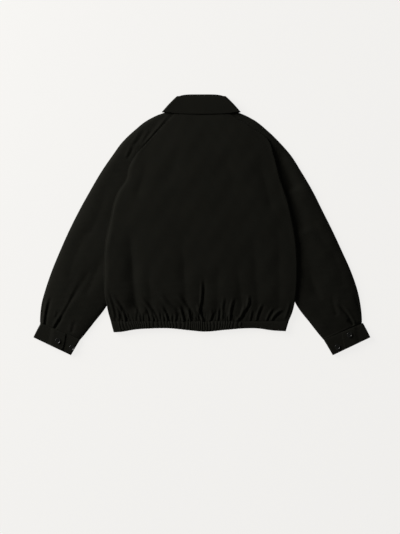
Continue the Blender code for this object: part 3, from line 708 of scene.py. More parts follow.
@made_once("node_groups", "Twill Weave")
def twill_group(name):
    """Twill weave: diagonal ribs, |sin| of u + v over the pitch, broken by each yarn's own turns.  Its colour
    is painted lighter on the raised yarns and darker in the hollows between them (painted highlight and
    shade), besides a random mottle.
    """
    group, net, given, result = node_group(
        name,
        [("Vector", "NodeSocketVector", None), ("Base", "NodeSocketColor", None),
         ("Raised", "NodeSocketColor", None), ("Pitch", "NodeSocketFloat", 0.0011),
         ("Mottle", "NodeSocketFloat", 0.5)],
        [("Color", "NodeSocketColor"), ("Roughness", "NodeSocketFloat"), ("Height", "NodeSocketFloat")])
    place = net.add("ShaderNodeSeparateXYZ", Vector=given["Vector"])
    turns = net.math("DIVIDE", net.math("ADD", place.outputs[0], place.outputs[1]), given["Pitch"])
    rib = net.math("ABSOLUTE", net.math("SINE", net.math("MULTIPLY", turns, math.pi)))
    cross = net.math("DIVIDE", net.math("SUBTRACT", place.outputs[0], place.outputs[1]), given["Pitch"])
    knuckle = net.math("ABSOLUTE", net.math("SINE", net.math("MULTIPLY", cross, math.pi * 0.5)))
    weave = net.math("ADD", net.math("MULTIPLY", rib, 0.7), net.math("MULTIPLY", knuckle, 0.3))
    slub = net.noise(given["Vector"], 900.0, 3.0)
    cloud = net.noise(given["Vector"], 34.0, 4.0)
    # Painted highlight and shade: the lighter colour's share follows the weave's height, so yarn tops are
    # painted lighter and the hollows darker.
    raised = net.math("MULTIPLY", weave, net.spread(slub, 0.3, 0.7, 0.45, 1.0))
    mottle = net.math("MULTIPLY", given["Mottle"], net.spread(cloud, 0.3, 0.7, -0.5, 0.5))
    shade = net.add("ShaderNodeClamp", Value=net.math("ADD", raised, mottle))
    net.feed(result["Color"], net.mix(shade.outputs[0], given["Base"], given["Raised"]))
    net.feed(result["Roughness"], net.spread(cloud, 0.3, 0.7, 0.82, 0.94))
    net.feed(result["Height"], net.math("ADD", weave, net.math("MULTIPLY", slub, 0.6)))
    return group


@made_once("node_groups", "Lint")
def lint_group(name):
    """Fine pale fibres and specks caught on a dark cloth, where a stretched noise passes a limit."""
    group, net, given, result = node_group(
        name,
        [("Color", "NodeSocketColor", None), ("Vector", "NodeSocketVector", None),
         ("Lint", "NodeSocketColor", (0.06, 0.06, 0.055, 1.0)), ("Amount", "NodeSocketFloat", 0.3)],
        [("Color", "NodeSocketColor")])
    turned = net.add("ShaderNodeMapping", Vector=given["Vector"], Rotation=(0, 0, 0.6),
                     Scale=(1.0, 0.22, 1.0))
    fibre = net.spread(net.noise(turned.outputs[0], 420.0, 1.0), 0.74, 0.80)
    speck = net.spread(net.noise(given["Vector"], 610.0, 0.0), 0.80, 0.86)
    share = net.math("MULTIPLY", net.math("MAXIMUM", fibre, speck), given["Amount"])
    net.feed(result["Color"], net.mix(share, given["Color"], given["Lint"]))
    return group


def new_material(name):
    """A material with only its Principled shader and output, and the net to build on."""
    made = bpy.data.materials.new(name)
    made.use_nodes = True
    net = Net(made.node_tree)
    return made, net, made.node_tree.nodes["Principled BSDF"].inputs


def relief(net, shader, strength, depth, height):
    """Gives a shader fine bumps of some depth, from a height between 0 and 1."""
    bump = net.add("ShaderNodeBump", Strength=strength, Distance=depth, Height=height)
    net.feed(shader["Normal"], bump.outputs["Normal"])


def woven(net, shader, pitch, mottle, strength, depth):
    """Gives a shader the twill's roughness and relief, and hands back its colour, with the yarns' painted
    highlight and shade, and its place.
    """
    place = net.add("ShaderNodeUVMap", {"uv_map": "cloth"}).outputs[0]
    weave = net.add("ShaderNodeGroup", {"node_tree": twill_group()}, Vector=place, Pitch=pitch, Mottle=mottle,
                    Base=tuple(colours().cloth), Raised=tuple(colours().cloth_highlight_and_mottle))
    net.feed(shader["Roughness"], weave.outputs["Roughness"])
    relief(net, shader, strength, depth, weave.outputs["Height"])
    return weave.outputs["Color"], place


@made_once("materials", "shell_twill")
def cloth_material(name):
    """The shell cloth: near-black olive twill, matt, with a little nap."""
    made, net, shader = new_material(name)
    # The twill's colour paints its raised yarns lighter and its hollows darker: painted highlight and shade.
    colour, place = woven(net, shader, pitch=1.1 * MM, mottle=0.35, strength=0.35, depth=0.25 * MM)
    lint = net.add("ShaderNodeGroup", {"node_tree": lint_group()}, Color=colour, Vector=place, Amount=0.22)
    net.feed(shader["Base Color"], lint.outputs["Color"])
    net.feed(shader["Specular IOR Level"], 0.12)
    net.feed(shader["Sheen Weight"], 0.035)
    net.feed(shader["Sheen Roughness"], 0.45)
    net.feed(shader["Sheen Tint"], (0.93, 0.95, 0.82, 1.0))
    return made


@made_once("materials", "sewing_thread")
def thread_material(name):
    """Sewing thread: dark, with a fine twist across it and a slight gloss."""
    made, net, shader = new_material(name)
    place = net.add("ShaderNodeTexCoord").outputs["Object"]
    twist = net.noise(place, 2400.0, 1.0)
    dull = net.mix(0.45, tuple(colours().thread), tuple(colours().cloth))
    net.feed(shader["Base Color"], net.mix(net.spread(twist, 0.35, 0.65), dull, tuple(colours().thread)))
    net.feed(shader["Roughness"], net.spread(twist, 0.3, 0.7, 0.55, 0.75))
    relief(net, shader, 0.4, FINE_RELIEF, twist)
    net.feed(shader["Specular IOR Level"], 0.2)
    return made


@made_once("materials", "zip_tape_weave")
def tape_material(name):
    """Zip tape: a coarser twill of the same dark yarn."""
    made, net, shader = new_material(name)
    # The twill's colour paints the tape's raised yarns lighter and its hollows darker: painted highlight and
    # shade.
    colour, _ = woven(net, shader, pitch=1.6 * MM, mottle=0.25, strength=0.5, depth=0.3 * MM)
    net.feed(shader["Base Color"], colour)
    net.feed(shader["Specular IOR Level"], 0.2)
    return made


@made_once("materials", "button_resin")
def button_material(name):
    """Buttons: black horn-like resin, faintly clouded, polished under a clear coat."""
    made, net, shader = new_material(name)
    place = net.add("ShaderNodeTexCoord").outputs["Object"]
    cloud = net.noise(place, 420.0, 3.0)
    scuff = net.noise(place, 2600.0, 2.0)
    pale = tuple(min(1.0, part * 2.4) for part in colours().button[:3]) + (1.0,)
    net.feed(shader["Base Color"], net.mix(net.spread(cloud, 0.45, 0.75), tuple(colours().button), pale))
    net.feed(shader["Roughness"], net.spread(scuff, 0.3, 0.7, 0.16, 0.34))
    relief(net, shader, 0.12, FINE_RELIEF, scuff)
    net.feed(shader["Coat Weight"], 0.25)
    net.feed(shader["Coat Roughness"], 0.12)
    return made


@made_once("materials", "antique_metal")
def metal_material(name):
    """Zip metal: antiqued brass, mottled darker and brighter at random by a noise."""
    made, net, shader = new_material(name)
    place = net.add("ShaderNodeTexCoord").outputs["Object"]
    rubbed = net.noise(place, 700.0, 4.0)
    dark = tuple(part * 0.45 for part in colours().metal[:3]) + (1.0,)
    net.feed(shader["Base Color"], net.mix(net.spread(rubbed, 0.35, 0.62), dark, tuple(colours().metal)))
    net.feed(shader["Metallic"], 1.0)
    net.feed(shader["Roughness"], net.spread(rubbed, 0.3, 0.7, 0.45, 0.28))
    relief(net, shader, 0.15, FINE_RELIEF, rubbed)
    return made


# ------------------------------------------------------------------- forms

TURN_COLUMNS = 12
ROLL_COLUMNS = 7
ROLL_ANGLE = 75.0
BACK_TOP_COLUMNS = 350
# The back's y in millimetres at its first row, where its rows grow closer, and at its last.
BACK_TOP_Y = 318
BACK_DENSE_Y = -150
BACK_FOOT_Y = -268.7
BACK_UPPER_ROWS = 62
BACK_DENSE_ROWS = 50
HEM_RIPPLE = 2.4 * MM
SMALL_GATHERS = 52
LEFT_FOLD_SWELL = 4.2 * MM
LEAST_ROLL = 0.5 * MM
LEFT_FOLD_WIDTH = 13.0 * MM
RAGLAN_STITCH_Y = (313.0 * MM, 222.0 * MM)
RAGLAN_STITCH_INSETS = (1.6 * MM, 7.6 * MM)


def back_points():
    """The back: its top layer is a dome, 1 - |across| to the 2.6, rolled over at both sides in half
    circles and turned under to the side seams, with the creases taken from its height."""
    upper = np.linspace(BACK_TOP_Y, BACK_DENSE_Y, BACK_UPPER_ROWS)
    dense = np.linspace(BACK_DENSE_Y, BACK_FOOT_Y, BACK_DENSE_ROWS)
    y = np.concatenate([upper, dense[1:]]) * MM
    row = {name: through(BACK["y"], values, y)[:, None] for name, values in BACK.items()}
    y = y[:, None]
    half_wall = sizes().wall / 2
    edges = {"left": row["left"] - half_wall, "right": row["right"] - half_wall}
    falls = smooth((y + 215 * MM) / (60 * MM)) * smooth((205 * MM - y) / (30 * MM))
    swell = falls * np.minimum(LEFT_FOLD_SWELL, 2.0 * (row["roll"] - LEAST_ROLL))
    roll_height = {"left": row["roll"] - swell / 2.0, "right": row["roll"]}
    along = np.linspace(0.0, 1.0, TURN_COLUMNS)[None, :]
    angle = np.radians(np.linspace(-ROLL_ANGLE, ROLL_ANGLE, ROLL_COLUMNS))[None, :]
    turned = {}
    for side, edge in edges.items():
        roll = row["roll"]
        x = np.hstack([row["seam"] + (edge - roll - row["seam"]) * along, edge - roll + roll * np.cos(angle)])
        z = np.hstack([row["seam_z"] + (row["under_z"] - row["seam_z"]) * smooth(along / 0.3),
                       row["under_z"] + roll_height[side] * (1.0 + np.sin(angle))])
        turned[side] = (SIDES[side] * x, z)
    across = np.linspace(-1.0, 1.0, BACK_TOP_COLUMNS)[None, :]
    low_x, high_x = row["roll"] - edges["left"], edges["right"] - row["roll"]
    x = low_x + (high_x - low_x) * (across + 1.0) / 2.0
    edge_z = row["under_z"] + 2.0 * row["roll"]
    z = edge_z + (row["crown"] - edge_z) * (1.0 - np.abs(across) ** 2.6)
    reach = 1.0 - np.clip((x - low_x) / LEFT_FOLD_WIDTH, 0.0, 1.0)
    z = z + swell * (np.sqrt(1.0 - reach**2) - 1.0)
    inside = smooth((1.0 - np.abs(across)) / 0.05)
    gathers = small_gathers(-246 * MM, 112 * MM, HEM_TOP_Y, SMALL_GATHERS, seed=11)
    z = z + (crease_height(x, y, BACK_CREASES) + crease_height(x, y, gathers)) * inside
    z = z + rolling(x, y) * inside * smooth((y - HEM_TOP_Y) / (30 * MM))
    near_hem = smooth((RIB_FADE_Y - y) / (RIB_FADE_Y - HEM_TOP_Y))
    z = z + HEM_RIPPLE * rib_wave(x, 0.0) * gathered(x) * near_hem * inside
    neck = smooth((300 * MM - y) / (30 * MM))
    seam_side = np.exp(-(((x - low_x) / (7 * MM)) ** 2)) * smooth((y - 215 * MM) / (12 * MM))
    z = z + seam_pucker(y) * seam_side * neck
    x = np.hstack([turned["left"][0], x, turned["right"][0][:, ::-1]])
    z = np.hstack([turned["left"][1], z, turned["right"][1][:, ::-1]])
    return grid(x, y, z)


def covered_by_collar(x, y):
    """How far the front rises where the collar's front fall lies beneath it."""
    past = y - through(FALL_EDGE["x"], FALL_EDGE["y"], np.abs(x))
    return FALL_COVER_RISE * smooth((past + FALL_COVER_REACH) / FALL_COVER_SLOPE)


def zip_tent(x, y):
    """How far the cloth rises over the slider and its pull tab."""
    along = smooth((y - TENT_START_Y + TENT_SLOPE) / TENT_SLOPE)
    across = smooth((TENT_HALF_WIDTH + TENT_SLOPE - np.abs(x)) / TENT_SLOPE)
    return TENT_HEIGHT * along * across


def hem_step(y):
    """How far the zip rises where it runs over the thicker hem band."""
    return HEM_STEP * smooth((HEM_TOP_Y - y) / (6 * MM))


def bulge(t):
    """Rises steeply from 0 at both ends to a nearly flat 1 in the middle."""
    return np.sqrt(np.clip(1.0 - np.abs(2.0 * t - 1.0) ** 4, 0.0, 1.0))


# How far each last row of the sleeve reaches into the cuff, and how much it shrinks along, across and up.
SLEEVE_TUCKS = (
    (0.8 * MM, np.array([0.988, 0.988, 0.84])),
    (1.8 * MM, np.array([0.970, 0.970, 0.66])),
    (6.0 * MM, np.array([0.950, 0.950, 0.55])),
)
SLEEVE_UPPER_ROWS = 96
SLEEVE_LOWER_ROWS = 118
SLEEVE_TOP_COLUMNS = 84
SLEEVE_UNDER_COLUMNS = 32
SLEEVE_DIRECTION = np.array([0.45, -0.89, 0.0])


def sleeve_rows():
    """The sleeve table at its finished rows; those from the underarm on are closed into a tube."""
    above = np.linspace(0.0, PIT_ROW, SLEEVE_UPPER_ROWS)
    below = np.linspace(PIT_ROW, len(SLEEVE["low"]) - 1, SLEEVE_LOWER_ROWS)[1:]
    rows = resampled(SLEEVE, np.concatenate([above, below]))
    ground = sizes().wall / 2
    rows["low"] = np.maximum(rows["low"], ground)
    rows["front_z"] = np.maximum(rows["front_z"], ground)
    return rows


def sleeve_points(side):
    """One raglan sleeve: a flat oval across each row, its top the fourth-power bulge from the edge
    sewn to the back over to the outer edge, and its underside flat on the ground."""
    sign, rows, wall = SIDES[side], sleeve_rows(), sizes().wall
    outer_x = through(OUTLINE["y"], OUTLINE[side], rows["outer_y"]) - wall / 2
    top = eased(0.0, 1.0, SLEEVE_TOP_COLUMNS)[None, :]
    under = eased(1.0, 0.0, SLEEVE_UNDER_COLUMNS)[None, 1:]
    x = rows["seam_x"] + (outer_x - rows["seam_x"]) * top
    y = rows["seam_y"] + (rows["outer_y"] - rows["seam_y"]) * top
    end_z = np.where(top < 0.5, rows["seam_z"], SLEEVE_EDGE_Z)
    z = end_z + (rows["crest"] - end_z) * bulge(top)
    cuff_seam = smooth((np.arange(len(x))[::-1, None]) / 6.0)
    inside = smooth(np.minimum(top, 1.0 - top) / 0.05)
    creases = mirrored(SLEEVE_CREASES[side], sign)
    z = z + crease_height(x, y, creases) * smooth((1.0 - top) / 0.06)
    z = z + rolling(sign * x, y) * inside * cuff_seam
    z = np.maximum(z, SLEEVE_EDGE_Z * 0.6)
    under_x = rows["front_x"] + (outer_x - rows["front_x"]) * under
    under_y = rows["front_y"] + (rows["outer_y"] - rows["front_y"]) * under
    end_z = np.where(under < 0.5, rows["front_z"], SLEEVE_EDGE_Z)
    flat = smooth(np.minimum(under, 1.0 - under) / 0.06)
    under_z = end_z + (rows["low"] - end_z) * flat
    lift = np.maximum(-crease_height(under_x, under_y, creases), 0.0)
    under_z = under_z + 0.3 * lift * flat
    x, y, z = (np.hstack(pair) for pair in ((x, under_x), (y, under_y), (z, under_z)))
    body = grid(x, y, z)
    middle = np.array([x[-1].mean(), y[-1].mean(), CUFF_HEIGHT / 2])
    tucks = [(middle + (body[-1] - middle) * shrink + SLEEVE_DIRECTION * reach)[None]
             for reach, shrink in SLEEVE_TUCKS]
    return np.concatenate([body, *tucks]) * np.array([sign, 1.0, 1.0])


def mirrored(creases, sign):
    """Creases of one side, with x measured outwards from the centre."""
    turned = dict(creases)
    for name in ("x0", "x1"):
        turned[name] = creases[name] * sign
    turned["bend"] = creases["bend"] * sign
    turned["lip"] = creases["lip"] * sign
    return turned


FRONT_ROWS = 150
FRONT_COLUMNS = 76
ZIP_STITCH_INSET = 8.0 * MM
ZIP_STITCH_PLACES = 300


def front_edge():
    """The front's outer edge: the sleeve's front edge to the underarm, then the back's side seam."""
    coarse = resampled(SLEEVE, np.linspace(0.0, PIT_ROW, 11))
    pit = len(coarse["low"]) - 1
    lower = BACK["y"] < coarse["front_y"][pit, 0] - PIT_MARGIN
    x = np.concatenate([coarse["front_x"][:, 0] - SEAM_GAP, BACK["seam"][lower] - SIDE_SEAM_GAP])
    x[pit] = BACK["seam"].min(where=BACK["y"] < 0, initial=1.0) - SIDE_SEAM_GAP
    y = np.concatenate([coarse["front_y"][:, 0], BACK["y"][lower]])
    z = np.concatenate([coarse["front_z"][:, 0], BACK["seam_z"][lower]])
    fine = np.linspace(0, len(x) - 1, FRONT_ROWS)
    return tuple(np.interp(fine, np.arange(len(x)), values) for values in (x, y, z))


def front_points():
    """The right front: a patch between centre front, hem, neckline and outer edge, flat on the ground
    but for its risen side, its creases and what lies beneath it (a Coons patch)."""
    edge_x, edge_y, edge_z = (values[::-1, None] for values in front_edge())
    ground = sizes().wall / 2
    u = np.linspace(0.0, 1.0, FRONT_COLUMNS)[None, :]
    share = (edge_y - edge_y[0]) / (edge_y[-1] - edge_y[0])
    centre_y = edge_y[0] + (NECKLINE["y"][0] - edge_y[0]) * share
    x = FRONT_EDGE_X + (edge_x - FRONT_EDGE_X) * u
    top_y = through(NECKLINE["x"], NECKLINE["y"], x[-1:])
    top_straight_y = centre_y[-1] + (edge_y[-1] - centre_y[-1]) * u
    y = centre_y + (edge_y - centre_y) * u + smooth((share - 0.55) / 0.45) * (top_y - top_straight_y)
    side = smooth((u - 0.7) / 0.3)
    rise = np.maximum(covered_by_collar(x, y), zip_tent(x, y))
    z = ground + np.maximum(rise * (1.0 - side), 0.0) + (edge_z - ground) * side
    crease = np.maximum(-crease_height(x, y, FRONT_CREASES), 0.0)
    inside = smooth(u / 0.08) * smooth((1.0 - u) / 0.1) * smooth((y - HEM_TOP_Y) / (6 * MM))
    return grid(x, y, z + crease * inside)


COLLAR_ROWS = 84
COLLAR_BACK_COLUMNS = 46
COLLAR_SIDE_COLUMNS = 13
COLLAR_FRONT_COLUMNS = 40
COLLAR_SIDE_ANGLE = 80.0
COLLAR_WALL_SHARE = 1.3
COLLAR_STITCH_INSET_ROWS = 3.6
COLLAR_STITCH_PLACES = 600


def collar_half(side):
    """Half of the collar's loops: straight behind the neck, round the side in an arc, and along the
    front; down the rows it climbs as the stand, turns over the fold and lies back as the fall."""
    place = np.linspace(0.0, len(COLLAR["left"]) - 1.0, COLLAR_ROWS)
    loop = resampled(COLLAR, place)
    place = place[:, None]
    width = loop[side] - COLLAR_TURN
    back = np.linspace(0.0, 1.0, COLLAR_BACK_COLUMNS)[None, :]
    angle = np.radians(np.linspace(COLLAR_SIDE_ANGLE, -COLLAR_SIDE_ANGLE, COLLAR_SIDE_COLUMNS))[None, :]
    fore = np.linspace(1.0, 0.0, COLLAR_FRONT_COLUMNS)[None, :]
    middle_z, half_z = (loop["top_z"] + loop["low_z"]) / 2, (loop["top_z"] - loop["low_z"]) / 2
    front_x = width + (loop["front_x"] - width) * (1.0 - fore)
    x = np.hstack([width * back, width + COLLAR_TURN * np.cos(angle), front_x])
    sag = COLLAR_SAG * smooth((place - 4.0) / 2.0) * (1.0 - back**2)
    front_y = loop["front_y"] + (loop["side_y"] - loop["front_y"]) * fore**1.1
    at_seam = np.clip(1.0 - place, 0.0, 1.0)
    seam_y = through(NECKLINE["x"], NECKLINE["y"], front_x[:1]) + COLLAR_SEAM_GAP
    front_y = front_y + at_seam * (seam_y - front_y[:1])
    y = np.hstack([loop["back_y"] + (loop["side_y"] - loop["back_y"]) * back**5 - sag,
                   loop["side_y"] + 0.0 * angle, front_y])
    tent = np.interp(place, [0.0, 1.0, 2.0, 3.0], [1.0, 0.5, 0.2, 0.0])
    front_z = loop["low_z"] + 0.0 * fore + tent * zip_tent(front_x, np.full((1, 1), NECKLINE["y"][0]))
    fall = smooth((place - 3.4) / 1.2)
    wave = 0.5 * MM * np.sin(SIDES[side] * x[:, :COLLAR_BACK_COLUMNS] / (34 * MM) + 0.6) * fall
    z = np.hstack([loop["top_z"] + wave, middle_z + half_z * np.sin(angle), front_z])
    return SIDES[side] * x, y, z


def collar_points():
    """The collar in one piece, its two halves joined behind the neck."""
    halves = zip(collar_half("left"), collar_half("right"))
    return grid(*(np.hstack([left[:, :0:-1], right]) for left, right in halves))


HEM_ROWS = 19
HEM_TUCK_ROWS = 2
HEM_FRONT_COLUMNS = 70
HEM_TURN_COLUMNS = 15
HEM_END_COLUMNS = {"left": 8, "right": 60}
HEM_BACK_COLUMNS = 560
HEM_STITCH_ROWS = (0.10, 0.48, 0.88)
HEM_STITCH_PLACES = 900
RIB_FADE_Y = -243.0 * MM


def rib_wave(x, down):
    """The gathered ribs' height from -0.55 to 0.45: the square root of a sine of x whose pitch wanders."""
    wander = 0.9 * np.sin(x / (31 * MM)) + 0.5 * np.sin(x / (13 * MM) + 1.0)
    turns = x / sizes().rib_pitch + wander + 0.10 * np.sin(down * 5.0 + x / (17 * MM))
    uneven = 0.72 + 0.28 * np.sin(x / (23 * MM) + 2.0) * np.cos(x / (8.2 * MM))
    return (np.sqrt(np.abs(np.sin(np.pi * turns))) - 0.55) * uneven


def gathered(x):
    """1 where the hem is gathered and 0 at its plain ends."""
    return smooth((x - HEM_JOIN_LEFT_X) / (12 * MM)) * smooth((HEM_JOIN_RIGHT_X + 14 * MM - x) / (20 * MM))


def hem_points(path_x, path_z, ribs=0.0):
    """A stretch of the hem band along a path, puffed between its seams by 1 - (2d - 1) to the fourth,
    with ribs standing out of it where it is gathered, and its top edge tucked in under the body."""
    down = np.linspace(0.0, 1.0, HEM_ROWS)[:, None]
    top_y = HEM_TOP_Y - SEAM_GAP
    edge_y = through(HEM_EDGE["x"], HEM_EDGE["y"], path_x)
    half = np.where(path_x < 0, BACK["left"][-1], BACK["right"][-1])
    x = path_x * (1.0 - down * HEM_DRAWN_IN / half)
    y = top_y + (edge_y - top_y) * down
    puff = 1.0 - (2.0 * down - 1.0) ** 4
    out = np.where(path_z > HEM_ROLL, 1.0, 0.0)
    z = path_z + 0.8 * MM * puff * out + 0.0 * x
    if ribs:
        rib = rib_wave(path_x, down)
        z = z + ribs * rib * (0.55 + 0.45 * puff)
        y = y - 0.5 * MM * rib * smooth((down - 0.8) / 0.2)
    inward = np.clip(HEM_MIDDLE_Z - path_z, -HEM_TUCK, HEM_TUCK)
    tucks = [grid(path_x * (1.0 - HEM_TUCK / half), top_y + reach, path_z + inward)[None]
             for reach in (HEM_TUCK * 2.2, 0.0)]
    return np.concatenate([*tucks, grid(x, y, z)])


def hem_paths():
    """The path of each stretch of the hem band in x and z: along the front, round the side, and back."""
    low_z = sizes().band_wall / 2
    high_z = low_z + 2.0 * HEM_ROLL
    angle = np.radians(np.linspace(-90, 90, HEM_TURN_COLUMNS))
    paths = {}
    for side, join in (("left", -HEM_JOIN_LEFT_X), ("right", HEM_JOIN_RIGHT_X)):
        turn = BACK[side][-1] - sizes().band_wall / 2 - HEM_ROLL
        flat = np.linspace(FRONT_EDGE_X, turn, HEM_FRONT_COLUMNS)[:-1]
        back = np.linspace(turn, join + SEAM_GAP / 2, HEM_END_COLUMNS[side])[1:]
        x = np.concatenate([flat, turn + HEM_ROLL * np.cos(angle), back])
        z = np.concatenate([np.full(len(flat), low_z), low_z + HEM_ROLL * (1 + np.sin(angle)),
                            np.full(len(back), high_z)])
        paths[side] = (SIDES[side] * x, z)
    x = np.linspace(HEM_JOIN_LEFT_X + SEAM_GAP / 2, HEM_JOIN_RIGHT_X - SEAM_GAP / 2, HEM_BACK_COLUMNS)
    paths["back"] = (x, np.full(len(x), high_z))
    return paths


def cuff_point(side, across, down):
    """The place in plan of a point of the cuff: across from its inner edge, down from the sleeve."""
    rows = {name: through([0.0, 0.5, 1.0], values, down) for name, values in CUFF.items()}
    x = rows["inner_x"] + (rows["outer_x"] - rows["inner_x"]) * across
    y = rows["inner_y"] + (rows["outer_y"] - rows["inner_y"]) * across
    return SIDES[side] * x, y


CUFF_ROWS = 34
CUFF_START_COLUMNS = 26
CUFF_TURN_COLUMNS = 9
CUFF_TURN_ANGLE = 75.0
CUFF_FLOOR_COLUMNS = 40
CUFF_TOP_COLUMNS = 64
CUFF_STITCH_INSET_COLUMNS = 2.4
CUFF_STITCH_ROWS = (0.10, 0.90)
CUFF_STITCH_PLACES = {"along": 300, "across": 80}


def cuff_points(side):
    """One cuff: a band wound once round the wrist, up at its inner edge and down at its outer edge in
    arcs, whose rounded end laps over its start."""
    down = np.linspace(0.0, 1.0, CUFF_ROWS)[:, None]
    lap_high, lap_low = CUFF_LAP[side]
    corner = np.clip((down - (1.0 - CUFF_CORNER / CUFF_DEPTH)) * CUFF_DEPTH / CUFF_CORNER, 0.0, 1.0)
    rounding = CUFF_CORNER / CUFF_WIDTH * (1.0 - np.sqrt(1.0 - 0.96 * corner**2))
    lap = lap_high + (lap_low - lap_high) * down + rounding
    wall = sizes().band_wall
    low, high = wall / 2, CUFF_HEIGHT - wall / 2
    middle, radius = (low + high) / 2, (high - low) / 2
    turn = radius / CUFF_WIDTH
    inset = turn + wall / 2 / CUFF_WIDTH
    angle = np.radians(np.linspace(CUFF_TURN_ANGLE, -CUFF_TURN_ANGLE, CUFF_TURN_COLUMNS))
    even = np.ones_like(down)
    start = lap + 0.2 + (inset - lap - 0.2) * np.linspace(0.0, 1.0, CUFF_START_COLUMNS)[None, :]
    inner = even * (inset - turn * np.cos(angle))
    floor = even * np.linspace(inset, 1.0 - inset, CUFF_FLOOR_COLUMNS)
    outer = even * (1.0 - inset + turn * np.cos(angle))
    top = (1.0 - inset) + (lap - (1.0 - inset)) * np.linspace(0.0, 1.0, CUFF_TOP_COLUMNS)[None, :]
    lapped = wall + CUFF_LAP_GAP
    over = smooth((lap + 0.40 - top) / 0.12)
    across = np.hstack([start, inner, floor, outer, top])
    z = np.hstack([high + 0.0 * start, even * (middle + radius * np.sin(angle)), low + 0.0 * floor,
                   even * (middle - radius * np.sin(angle)), high + lapped * over])
    x, y = cuff_point(side, across, down)
    puff = (0.45 * (1.0 - (2.0 * down - 1.0) ** 4) - 0.5 * smooth((0.12 - down) / 0.12)) * MM * (z > middle)
    soft = 0.35 * MM * np.sin(x / (19 * MM) + y / (11 * MM)) * (z > middle)
    return grid(x, y, z + puff + soft)


TAPE_WALL = 0.8 * MM
TAPE_ROWS = 200
TAPE_COLUMNS = 9
TAPE_INNER_X = 0.9 * MM


def tape_points(side):
    """One zip tape: a flat strip that follows the front's rise from the chain outwards."""
    y = np.linspace(ZIP_BOTTOM_Y, ZIP_TOP_Y, TAPE_ROWS)[:, None]
    x = np.linspace(TAPE_INNER_X, TAPE_HALF_WIDTH, TAPE_COLUMNS)[None, :]
    z = TAPE_Z + zip_tent(x, y) + hem_step(y)
    return grid(SIDES[side] * x, y, z)


def round_table(radii, heights, sides):
    """A turned form: each ring of radius and height carried round the upright axis."""
    angle = np.linspace(0.0, 2.0 * np.pi, sides + 1)[None, :]
    return grid(np.asarray(radii)[:, None] * np.cos(angle), np.asarray(radii)[:, None] * np.sin(angle),
                np.asarray(heights)[:, None])


# --------------------------------------------------------------- operators

class JACKET_OT_back(bpy.types.Operator):
    """Lay the back over sleeves and fronts, with its folds, gathers and raglan topstitching"""

    bl_idname = "jacket.back"
    bl_label = "Back"

    def execute(self, context):
        points = back_points()
        back = cloth_piece("back_panel", points, sizes().wall, "back")
        y = points[:, 0, 1]
        rows = np.arange(len(y), dtype=float)[(y < RAGLAN_STITCH_Y[0]) & (y > RAGLAN_STITCH_Y[1])]
        first = TURN_COLUMNS + ROLL_COLUMNS
        step = points[rows.astype(int), first + 1, 0] - points[rows.astype(int), first, 0]
        lines = [stitch_line(points, rows, first + inset / step, sizes().wall / 2)
                 for inset in RAGLAN_STITCH_INSETS]
        joined_stitches("raglan_topstitching", lines)
        return {"FINISHED"}


class JACKET_OT_fronts(bpy.types.Operator):
    """Lay the two fronts flat on the ground, with topstitching beside the zip"""

    bl_idname = "jacket.fronts"
    bl_label = "Fronts"

    def execute(self, context):
        right = front_points()
        for side, sign in SIDES.items():
            points = right * np.array([sign, 1.0, 1.0])
            front = cloth_piece(f"front_{side}_panel", points, sizes().wall, f"front_{side}")
            rows = np.linspace(2, points.shape[0] - 3, ZIP_STITCH_PLACES)
            column = ZIP_STITCH_INSET / (points[:, -1, 0] - points[:, 0, 0]) * sign * (points.shape[1] - 1)
            column = np.interp(rows, np.arange(len(column)), column)
            line, normal = stitch_line(points, rows, column, 0.0)
            line = line - np.array([0.0, 0.0, sizes().wall / 2])
            joined_stitches(f"front_{side}_topstitching", [(line, -np.abs(normal))])
        return {"FINISHED"}


class JACKET_OT_sleeves(bpy.types.Operator):
    """Lay the raglan sleeves beside the body, pleated into their cuffs"""

    bl_idname = "jacket.sleeves"
    bl_label = "Sleeves"

    def execute(self, context):
        for side in SIDES:
            sleeve = cloth_piece(f"sleeve_{side}_panel", sleeve_points(side), sizes().wall, f"sleeve_{side}",
                                 closed_from=SLEEVE_UPPER_ROWS - 1)
        return {"FINISHED"}


class JACKET_OT_collar(bpy.types.Operator):
    """Stand the collar round the neck and fold it over, with topstitching along its edge"""

    bl_idname = "jacket.collar"
    bl_label = "Collar"

    def execute(self, context):
        points = collar_points()
        wall = sizes().wall * COLLAR_WALL_SHARE
        collar = cloth_piece("collar_panel", points, wall, "collar")
        row = points.shape[0] - 1 - COLLAR_STITCH_INSET_ROWS
        columns = np.linspace(4, points.shape[1] - 5, COLLAR_STITCH_PLACES)
        joined_stitches("collar_topstitching", [stitch_line(points, row, columns, wall / 2)])
        return {"FINISHED"}


class JACKET_OT_hem(bpy.types.Operator):
    """Sew on the hem band: two plain ends and the gathered back between"""

    bl_idname = "jacket.hem"
    bl_label = "Hem Band"

    def execute(self, context):
        wall, lines = sizes().band_wall, []
        for name, (x, z) in hem_paths().items():
            ribs = sizes().rib_height if name == "back" else 0.0
            points = hem_points(x, z, ribs)
            band = cloth_piece(f"hem_{name}_band", points, wall, f"hem_{name}")
            columns = np.linspace(1, points.shape[1] - 2, HEM_STITCH_PLACES)
            for down in HEM_STITCH_ROWS[:1] if ribs else HEM_STITCH_ROWS:
                row = HEM_TUCK_ROWS + down * (HEM_ROWS - 1)
                line, normal = stitch_line(points, row, columns, 0.0)
                outward = normal * np.sign(normal[:, 2:] if ribs else normal[-1, 2])
                lines.append((line + outward * wall / 2, outward))
        joined_stitches("hem_topstitching", lines)
        return {"FINISHED"}


